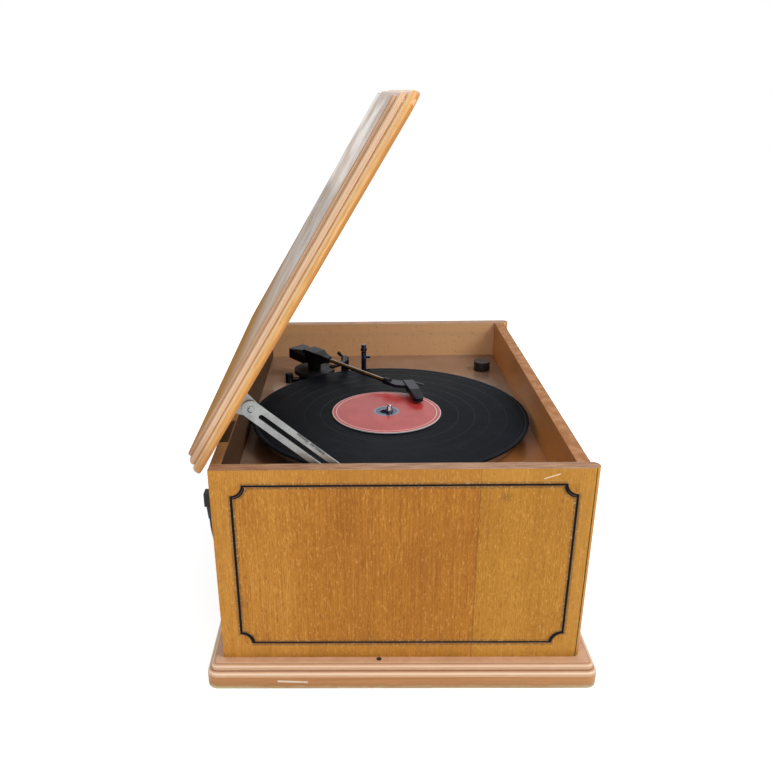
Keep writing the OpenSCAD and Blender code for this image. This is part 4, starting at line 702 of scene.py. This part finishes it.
MATS = {
    "side": wood("side_veneer", (0.30, 0.095, 0.008), (0.41, 0.152, 0.014),
                 (0.52, 0.225, 0.035), "z", rough=0.42, coat=0.06, coat_rough=0.2, fine=1.5,
                 band=0.45, pore=0.7, spec=0.15, marks=side_marks),
    "base": wood("base_wood", (0.33, 0.14, 0.045), (0.46, 0.215, 0.085), (0.56, 0.30, 0.14),
                 edges=True, rough=0.34, coat=0.3, coat_rough=0.16, band=0.8, pore=0.35,
                 seed=0.7, marks=base_marks),
    "lid": wood("lid_wood", (0.40, 0.17, 0.04), (0.55, 0.255, 0.065), (0.66, 0.34, 0.11),
                edges=True, turn=LID_OPEN, rough=0.34, coat=0.55, coat_rough=0.1, band=0.8,
                pore=0.3, spec=0.0, marks=lid_marks),
    "deck": wood("deck_wood", (0.18, 0.10, 0.06), (0.25, 0.145, 0.09), (0.32, 0.19, 0.12), "y",
                 rough=0.3, coat=0.45, coat_rough=0.1, pore=0.3, marks=deck_marks),
    "trim": wood("trim_wood", (0.27, 0.10, 0.02), (0.40, 0.17, 0.04), (0.52, 0.26, 0.08), "x",
                 rough=0.34, coat=0.3, coat_rough=0.15),
    "front": wood("front_veneer", (0.29, 0.10, 0.012), (0.41, 0.16, 0.02),
                  (0.52, 0.235, 0.045), "x", rough=0.38, coat=0.15, coat_rough=0.2, seed=1.3,
                  spec=0.1, marks=front_marks),
    "back": wood("back_board", (0.20, 0.10, 0.04), (0.30, 0.155, 0.065), (0.38, 0.21, 0.10),
                 "x", rough=0.55, coat=0.0, seed=2.1, spec=0.12, marks=back_marks),
    "hardboard": wood("rear_hardboard", (0.12, 0.065, 0.035), (0.18, 0.10, 0.055),
                      (0.22, 0.13, 0.07), "x", rough=0.7, coat=0.0, pore=0.1, seed=3.1),
    "pale": wood("batten_wood", (0.42, 0.27, 0.13), (0.55, 0.38, 0.2), (0.66, 0.48, 0.28), "z",
                 rough=0.6, coat=0.0, seed=4.2),
    "black": plastic("arm_plastic", (0.005, 0.006, 0.008), 0.4, dust=0.03, spec=0.09),
    "shell": plastic("headshell_plastic", (0.006, 0.008, 0.015), 0.34, dust=0.05, spec=0.12),
    "gloss_black": plastic("gloss_black_plastic", (0.008, 0.008, 0.011), 0.2, bump=0.00001,
                           coat=0.15, spec=0.2),
    "knob_black": plastic("knob_black", (0.017, 0.015, 0.018), 0.38, dust=0.25, spec=0.25),
    "post": plastic("post_plastic", (0.006, 0.010, 0.036), 0.25, bump=0.00001, spec=0.3),
    "rubber": plastic("black_rubber", (0.014, 0.014, 0.015), 0.6, spec=0.2),
    "cord": plastic("cord_rubber", (0.012, 0.012, 0.013), 0.5, spec=0.3),
    "brown": plastic("knob_brown", KNOB_BROWN, 0.28, bump=0.00001, coat=0.3, spec=0.3,
                     marks=knob_marks),
    "drawer": plastic("drawer_plastic", (0.03, 0.03, 0.032), 0.4, spec=0.3),
    "board": plastic("circuit_board", (0.02, 0.13, 0.05), 0.4),
    "red": plastic("pointer_red", (0.62, 0.03, 0.02), 0.3),
    "cone": plastic("cone_paper", (0.035, 0.033, 0.031), 0.85, grit=300, bump=0.0001),
    "scale": plastic("dial_scale", (0.72, 0.60, 0.38), 0.5),
    "ink": plastic("dial_ink", (0.045, 0.022, 0.012), 0.5, spec=0.2),
    "stay": metal("stay_steel", (0.36, 0.365, 0.355), 0.42, stipple=0.85, marks=stay_marks),
    "steel": metal("plated_steel", (0.5, 0.5, 0.5), 0.35),
    "alu": metal("cast_aluminium", (0.42, 0.42, 0.43), 0.42),
    "brass": metal("brass", (0.66, 0.45, 0.18), 0.3),
    "aged": metal("aged_brass", (0.13, 0.085, 0.045), 0.45),
    "spindle": metal("spindle_steel", (0.40, 0.39, 0.40), 0.3),
    "tube": metal("tube_metal", (0.24, 0.22, 0.205), 0.16, tone=0.2),
    "iron": metal("dark_iron", (0.15, 0.15, 0.16), 0.5),
}


# Radii on the record and on the compact disc, in metres
LABEL_R = 0.05
PLAYED_FROM, PLAYED_TO = 0.058, 0.1475
BAND_GAPS = (0.076, 0.0935, 0.109, 0.1275, 0.1435)
PRINT_R, PRINT_RING_R = 0.059, 0.0554
HUB_R, HUB_HOLLOW_R = 0.0141, 0.012
SOFT = 0.0002  # half the width of a soft edge


def record_material():
    """Black vinyl: playing bands of fine rings between smooth gaps, and a dark blue label."""
    m = Mat("record_vinyl")
    x, y = m.xyz(m.from_point(RECORD_AT))[:2]
    r = m.length(x, y)
    rings = m.math("SINE", m.mul(r, FULL_TURN / GROOVE_STEP))
    tracks = m.noise(m.join(m.mul(r, 1200), 0.0, 0.0), 1.0, 4, 0.7)
    label = m.step(r, LABEL_R + 0.0002, LABEL_R - 0.0001)
    smooth = label
    for gap_r in BAND_GAPS:
        smooth = m.most(smooth, m.step(m.gap(r, gap_r), 0.0007, 0.0003))
    cut = m.mul(m.minus(1, smooth), m.band(r, PLAYED_FROM, PLAYED_TO, 0.0005, 0.0005))
    dusty = m.step(m.noise(m.place, 40, 4, 0.6), 0.4, 0.8)
    # Both blacks are tinted blue: painted reflection of a blue sheen
    vinyl = m.mix(dusty, (0.0035, 0.0055, 0.009), (0.0075, 0.0105, 0.016))
    vinyl = m.tint(vinyl, tracks, 0.5, (0.004, 0.005, 0.007))
    rough = m.plus(m.mul(cut, m.plus(m.mul(tracks, 0.12), 0.08)), m.mul(label, 0.3), 0.2)
    height = m.mul(cut, m.plus(m.mul(rings, 0.5), tracks))
    around = m.add("ShaderNodeVectorTransform", vector_type="VECTOR", convert_from="OBJECT",
                   convert_to="WORLD")
    m.put(around.inputs[0], m.vmath("NORMALIZE", m.join(m.mul(y, -1.0), x, 0.0)))
    m.set(color=m.mix(label, vinyl, (0.012, 0.016, 0.055)), rough=rough, spec=0.015,
          tint=(0.65, 0.85, 1.0), aniso=0.75, tangent=around.outputs[0],
          normal=m.bump(height, 0.00006, 0.3))
    return m.material


def disc_material():
    """Printed compact disc: red face, thin pale rim and ring, and a clear hub painted dark blue,
    with a painted reflection on its silvered band.
    """
    m = Mat("disc_print")
    x, y = m.xyz(m.from_point(DISC_AT))[:2]
    r = m.length(x, y)
    cloud = m.step(m.noise(m.place, 45, 3, 0.5), 0.35, 0.7)
    color = m.mix(cloud, (0.39, 0.036, 0.034), (0.45, 0.05, 0.046))
    ring = m.step(m.gap(r, PRINT_RING_R), 0.00055, 0.00025)
    color = m.tint(color, ring, 0.75, (0.8, 0.62, 0.6))
    color = m.mix(m.step(r, PRINT_R - SOFT, PRINT_R + SOFT), color, (0.62, 0.5, 0.5))
    hub = m.step(r, HUB_R + SOFT, HUB_R - SOFT)
    color = m.mix(hub, color, (0.010, 0.018, 0.06))
    # Painted reflection: the silvered band round the hub is painted paler blue
    painted_mirror_reflection = m.mul(m.step(r, HUB_HOLLOW_R - SOFT, HUB_HOLLOW_R + SOFT), hub)
    color = m.mix(painted_mirror_reflection, color, (0.13, 0.17, 0.27))
    printed = m.above(m.xyz(m.facing)[2], 0.5)
    m.set(color=m.mix(printed, (0.45, 0.47, 0.5), color), rough=m.minus(0.3, m.mul(hub, 0.18)),
          coat=0.05, coat_rough=0.12, spec=0.16)
    return m.material


def glass_material():
    """Clear window of the dial."""
    m = Mat("clear_glass")
    m.set(color=(0.95, 0.97, 0.97), rough=0.04, spec=0.5, alpha=0.16, coat=1.0,
          coat_rough=0.02)
    return m.material


def cloth_material():
    """Brown speaker cloth with a plain weave."""
    m = Mat("speaker_cloth")
    x, _, z = m.xyz(m.place)
    weave = m.mul(*(m.math("SINE", m.mul(v, FULL_TURN / WEAVE_STEP)) for v in (x, z)))
    color = m.mix(m.step(weave, -0.6, 0.6), (0.10, 0.055, 0.022), (0.24, 0.14, 0.06))
    color = m.tint(color, m.noise(m.place, 900, 2, 0.5), 0.4, (0.3, 0.2, 0.1))
    m.set(color=color, rough=0.85, sheen=0.3, spec=0.2, normal=m.bump(weave, 0.0001, 0.6))
    return m.material


MATS["record"] = record_material()
MATS["disc"] = disc_material()
MATS["glass"] = glass_material()
MATS["cloth"] = cloth_material()

NODE_MATS = {
    "base_board": "base", "side_panel_left": "side", "side_panel_right": "side",
    "front_panel": "front", "back_panel": "back", "rear_cover": "hardboard",
    "rear_screws": "steel", "motor_board": "deck", "board_battens": "pale",
    "lid_board": "lid", "hinge_lower_leaves": "aged", "hinge_upper_leaves": "aged",
    "hinge_pins": "steel", "stay_bracket": "stay", "stay_rivet": "stay", "stay_arm": "stay",
    "stay_stud": "stay", "stay_wall_plate": "stay", "platter": "alu",
    "platter_mat": "rubber", "record": "record", "compact_disc": "disc",
    "spindle": "spindle", "platter_bearing": "alu", "turntable_motor": "steel",
    "motor_pulley": "brass", "drive_belt": "rubber", "arm_base": "black",
    "arm_turret": "black", "arm_body": "black", "arm_tube": "tube", "headshell": "shell",
    "cartridge": "gloss_black", "arm_rest_post": "post", "arm_rest_clip": "black",
    "cue_lift_bar": "black", "cue_lever": "black", "speed_knob": "knob_black",
    "grille_frames": "trim", "speaker_frames": "steel", "speaker_cones": "cone",
    "dial_frame": "trim", "dial_scale": "scale", "dial_pointer": "red",
    "dial_glass": "glass", "volume_knob": "brown", "tuning_knob": "brown",
    "control_board": "board", "play_button": "brown", "eject_button": "brown",
    "cd_drawer": "drawer", "cd_mechanism": "steel", "transformer": "iron",
    "amplifier_board": "board", "power_cord_gland": "cord", "power_plug": "gloss_black",
}
for node, key in NODE_MATS.items():
    data = NODES[node].data
    data.materials.clear()
    data.materials.append(MATS[key])
cord.data.materials.append(MATS["cord"])


def bevel(obj, width, segments, angle):
    """Round the edges that are sharper than the angle; width in millimetres."""
    b = obj.modifiers.new("bevel", "BEVEL")
    b.width = width * MM
    b.segments = segments
    b.limit_method = "ANGLE"
    b.angle_limit = math.radians(angle)


# Small roundings on the edges of the carried-over solids, in millimetres
BEVELS = {
    0.15: ["record"],
    0.2: ["dial_glass", "compact_disc"],
    0.25: ["side_panel_left", "side_panel_right", "base_board", "lid_board", "stay_arm",
           "stay_bracket", "stay_wall_plate"],
    0.3: ["cartridge", "front_panel", "stay_rivet", "stay_stud", "rear_cover", "back_panel",
          "motor_board", "platter"],
    0.4: ["arm_turret", "arm_rest_clip", "arm_rest_post", "cue_lift_bar", "cue_lever",
          "rear_screws", "board_battens"],
    0.5: ["arm_base", "play_button", "eject_button", "cd_drawer"],
    0.6: ["speed_knob", "transformer"],
    0.7: ["headshell"],
    0.8: ["arm_body", "grille_frames", "dial_frame"],
    0.9: ["power_cord_gland"],
    2.2: ["power_plug"],
}
for width, names in BEVELS.items():
    for name in names:
        weld = NODES[name].modifiers.new("weld", "WELD")
        weld.merge_threshold = 0.00001
        bevel(NODES[name], width, 2 if width < 1 else 4, 38)


def light(name, at, target, size, watts, color):
    """Square area light that looks at the target."""
    data = bpy.data.lights.new(name, "AREA")
    data.size = size
    data.energy = watts
    data.color = color
    obj = link(bpy.data.objects.new(name, data))
    obj.location = at
    obj.rotation_euler = (Vector(target) - Vector(at)).to_track_quat("-Z", "Y").to_euler()


def make_world():
    """White to the camera and in reflections, and a dimmer cool light on the part."""
    world = bpy.data.worlds.new("world")
    bpy.context.scene.world = world
    world.use_nodes = True
    t = world.node_tree
    t.nodes.clear()
    rays = t.nodes.new("ShaderNodeLightPath")
    white = rays.outputs["Is Camera Ray"]
    for kind in ("Is Glossy Ray", "Is Transmission Ray"):
        either = t.nodes.new("ShaderNodeMath")
        either.operation = "MAXIMUM"
        t.links.new(white, either.inputs[0])
        t.links.new(rays.outputs[kind], either.inputs[1])
        white = either.outputs[0]
    lit, shown = (t.nodes.new("ShaderNodeBackground") for _ in range(2))
    lit.inputs["Color"].default_value = (0.93, 0.97, 1, 1)
    lit.inputs["Strength"].default_value = 0.62
    shown.inputs["Color"].default_value = (1, 1, 1, 1)
    mixer = t.nodes.new("ShaderNodeMixShader")
    for socket, output in zip(mixer.inputs, (white, lit.outputs[0], shown.outputs[0])):
        t.links.new(output, socket)
    t.links.new(mixer.outputs[0], t.nodes.new("ShaderNodeOutputWorld").inputs[0])


def make_floor(half=6, drop=0.0002, glow_strength=0.5):
    """White floor that glows a little to the camera, so that its end doesn't show."""
    me = bpy.data.meshes.new("floor")
    corners = [(-half, -half, 0), (half, -half, 0), (half, half, 0), (-half, half, 0)]
    me.from_pydata(corners, [], [(0, 1, 2, 3)])
    floor = link(bpy.data.objects.new("floor", me))
    floor.location.z = -drop
    m = Mat("floor")
    m.set(color=m.mix(m.noise(m.place, 3, 2, 0.5), 0.93, 0.95), rough=0.9, spec=0.1)
    glow = m.add("ShaderNodeEmission")
    glow.inputs["Strength"].default_value = glow_strength
    both = m.add("ShaderNodeAddShader")
    pick = m.add("ShaderNodeMixShader")
    rays = m.add("ShaderNodeLightPath")
    m.put(both.inputs[0], m.shader.outputs[0])
    m.put(both.inputs[1], glow.outputs[0])
    m.put(pick.inputs[0], rays.outputs["Is Camera Ray"])
    m.put(pick.inputs[1], m.shader.outputs[0])
    m.put(pick.inputs[2], both.outputs[0])
    m.put(m.tree.nodes["Material Output"].inputs[0], pick.outputs[0])
    me.materials.append(m.material)


make_world()
light("key", at=(-0.7, -1.5, 1.9), target=(0, 0, 0.12), size=1.1, watts=34,
      color=(1, 0.98, 0.95))
light("fill", at=(-1.8, 0.9, 0.9), target=(0, 0, 0.15), size=1.2, watts=12,
      color=(0.95, 0.98, 1))
light("far", at=(2.4, -0.15, 1.25), target=(0, 0, 0.2), size=0.7, watts=1.3,
      color=(0.8, 0.92, 1))
make_floor()
bpy.context.scene.view_settings.view_transform = "Standard"


# Grille frames in millimetres: the foot and the outer edge are from the frame
GRILLE_W, GRILLE_RISE, GRILLE_RIM = 126, 24, 7
GRILLE_X = box("grille_frames")[1].x - GRILLE_W / 2
GRILLE_Z = box("grille_frames")[0].z
GRILLE_H = box("grille_frames")[1].z - GRILLE_Z - GRILLE_RISE
CLOTH_OUT = 0.9  # from the front panel to the middle of the cloth
CLOTH_T, CLOTH_WAVE = 0.6, 0.1


def grille_outline(inset, steps=24):
    """Outline of a grille's opening, from its bottom left corner round, in millimetres."""
    half = GRILLE_W / 2 - inset
    r = (half * half + GRILLE_RISE * GRILLE_RISE) / (2 * GRILLE_RISE)
    middle = GRILLE_H - inset + GRILLE_RISE - r
    reach = math.asin(half / r)
    arch = [reach - 2 * reach * i / steps for i in range(steps + 1)]
    return [(-half, inset), (half, inset)] + [(r * math.sin(a), middle + r * math.cos(a))
                                              for a in arch]


def mesh_object(name, bm):
    """Object in the scene with the mesh that was built."""
    me = bpy.data.meshes.new(name)
    bm.to_mesh(me)
    bm.free()
    return link(bpy.data.objects.new(name, me))


def make_cloth():
    """Both grille cloths: woven, thin, a little uneven, stretched in the frames."""
    bm = bmesh.new()
    for cx in (-GRILLE_X, GRILLE_X):
        rim = [bm.verts.new(Vector((cx + x, PANEL_FRONT - CLOTH_OUT, GRILLE_Z + z)) * MM)
               for x, z in grille_outline(GRILLE_RIM)]
        bmesh.ops.triangulate(bm, faces=[bm.faces.new(rim)])
    for _ in range(3):
        bmesh.ops.subdivide_edges(bm, edges=bm.edges[:], cuts=1, use_grid_fill=True)
    for v in bm.verts:
        cx = math.copysign(GRILLE_X * MM, v.co.x)
        v.co.y += CLOTH_WAVE * MM * math.sin((v.co.x - cx) * 260) * math.sin(v.co.z * 190)
    obj = mesh_object("speaker_cloth", bm)
    thick = obj.modifiers.new("solid", "SOLIDIFY")
    thick.thickness = CLOTH_T * MM
    thick.offset = 0
    obj.data.materials.append(MATS["cloth"])
    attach(obj, "cabinet")
    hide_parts("grille_cloths")


make_cloth()

# Print on the dial, in millimetres; heights are from the dial's middle
INK_T = 0.05
SCALE_HALF = 50  # from the middle to the last tick
TICK_STEP, TICK_HALF, LONG_TICK, SHORT_TICK = 2, 0.18, 4.2, 2.4
UPPER_TICKS, LOWER_TICKS = 7, -0.5
RULES, RULE_T, RULE_PAST = (6.7, -0.5), 0.35, 2
NUMBER_STEP, NUMBER_SIZE = 20, 6.2
NUMBER_ROWS = ((12.6, (88, 92, 96, 100, 104, 108)), (-11.1, (54, 60, 70, 85, 110, 160)))


def add_bar(bm, x0, x1, z0, z1):
    """Flat printed bar on the dial scale."""
    z0, z1 = DIAL_Z + z0, DIAL_Z + z1
    vs = [bm.verts.new(Vector((x, y, z)) * MM) for y in (DIAL_FACE, DIAL_FACE - INK_T)
          for x, z in ((x0, z0), (x1, z0), (x1, z1), (x0, z1))]
    for quad in ((4, 5, 6, 7), (3, 2, 1, 0), (0, 1, 5, 4), (1, 2, 6, 5), (2, 3, 7, 6),
                 (3, 0, 4, 7)):
        bm.faces.new([vs[i] for i in quad])


def add_number(bm, number, x, z):
    """Plain number printed on the dial scale, with its foot's middle at x, z."""
    curve = bpy.data.curves.new("number", "FONT")
    curve.body = str(number)
    curve.size = NUMBER_SIZE * MM
    curve.extrude = INK_T / 2 * MM
    curve.align_x = "CENTER"
    curve.resolution_u = 3
    text = link(bpy.data.objects.new("number", curve))
    bpy.context.view_layer.update()
    shown = text.evaluated_get(bpy.context.evaluated_depsgraph_get())
    me = bpy.data.meshes.new_from_object(shown)
    me.transform(Matrix.Translation(Vector((x, DIAL_FACE - INK_T / 2, DIAL_Z + z)) * MM)
                 @ Matrix.Rotation(math.radians(90), 4, "X"))
    bm.from_mesh(me)
    bpy.data.objects.remove(text)
    bpy.data.curves.remove(curve)
    bpy.data.meshes.remove(me)


def make_dial():
    """Ticks, rules and plain numbers printed on the dial scale."""
    bm = bmesh.new()
    for x in range(-SCALE_HALF, SCALE_HALF + 1, TICK_STEP):
        tall = SHORT_TICK if x % (5 * TICK_STEP) else LONG_TICK
        add_bar(bm, x - TICK_HALF, x + TICK_HALF, UPPER_TICKS, UPPER_TICKS + tall)
        add_bar(bm, x - TICK_HALF, x + TICK_HALF, LOWER_TICKS - tall, LOWER_TICKS)
    end = SCALE_HALF + RULE_PAST
    for z in RULES:
        add_bar(bm, -end, end, z, z + RULE_T)
    for z, numbers in NUMBER_ROWS:
        for i, number in enumerate(numbers):
            add_number(bm, number, NUMBER_STEP * i - SCALE_HALF, z)
    obj = mesh_object("dial_marks", bm)
    obj.data.materials.append(MATS["ink"])
    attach(obj, "cabinet")


make_dial()

# Radius, distance from the knob's foot and depth of the flutes (0 to 1), from the shaft's end
# to the middle of the face, in millimetres
KNOB_PROFILE = (
    (3, -21, 0), (3, 0, 0), (14.6, 0, 0), (15, 0.4, 0), (15, 2.4, 0), (14.6, 2.9, 0),
    (13.2, 3.9, 0), (12.3, 4.3, 0.1), (12, 5, 1), (12, 11.4, 1), (11.8, 12.4, 0.6),
    (11.2, 13.4, 0.1), (10.4, 13.9, 0), (9.6, 13.9, 0), (8.6, 13.4, 0), (4, 13.1, 0))
FLUTES, FLUTE_DEPTH, KNOB_SIDES, KNOB_GAP = 24, 0.65, 144, 1


def make_knob(node, body, x):
    """Front knob with a flange, a fluted rim, a dished face and its shaft."""
    rings = []
    for r, out, deep in KNOB_PROFILE:
        rings.append([])
        for k in range(KNOB_SIDES):
            a = FULL_TURN * k / KNOB_SIDES
            q = r - FLUTE_DEPTH * deep * (0.5 - 0.5 * math.cos(FLUTES * a)) ** 2
            rings[-1].append(Vector((x / MM + q * math.cos(a), PANEL_FRONT - KNOB_GAP - out,
                                     KNOB_Z / MM + q * math.sin(a))))
    obj = loft(node + "_fluted", rings)
    bevel(obj, 0.15, 1, 60)
    obj.data.materials.append(MATS["brown"])
    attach(obj, body)
    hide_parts(node)


make_knob("volume_knob", "volume", -KNOB_X)
make_knob("tuning_knob", "tuning", KNOB_X)
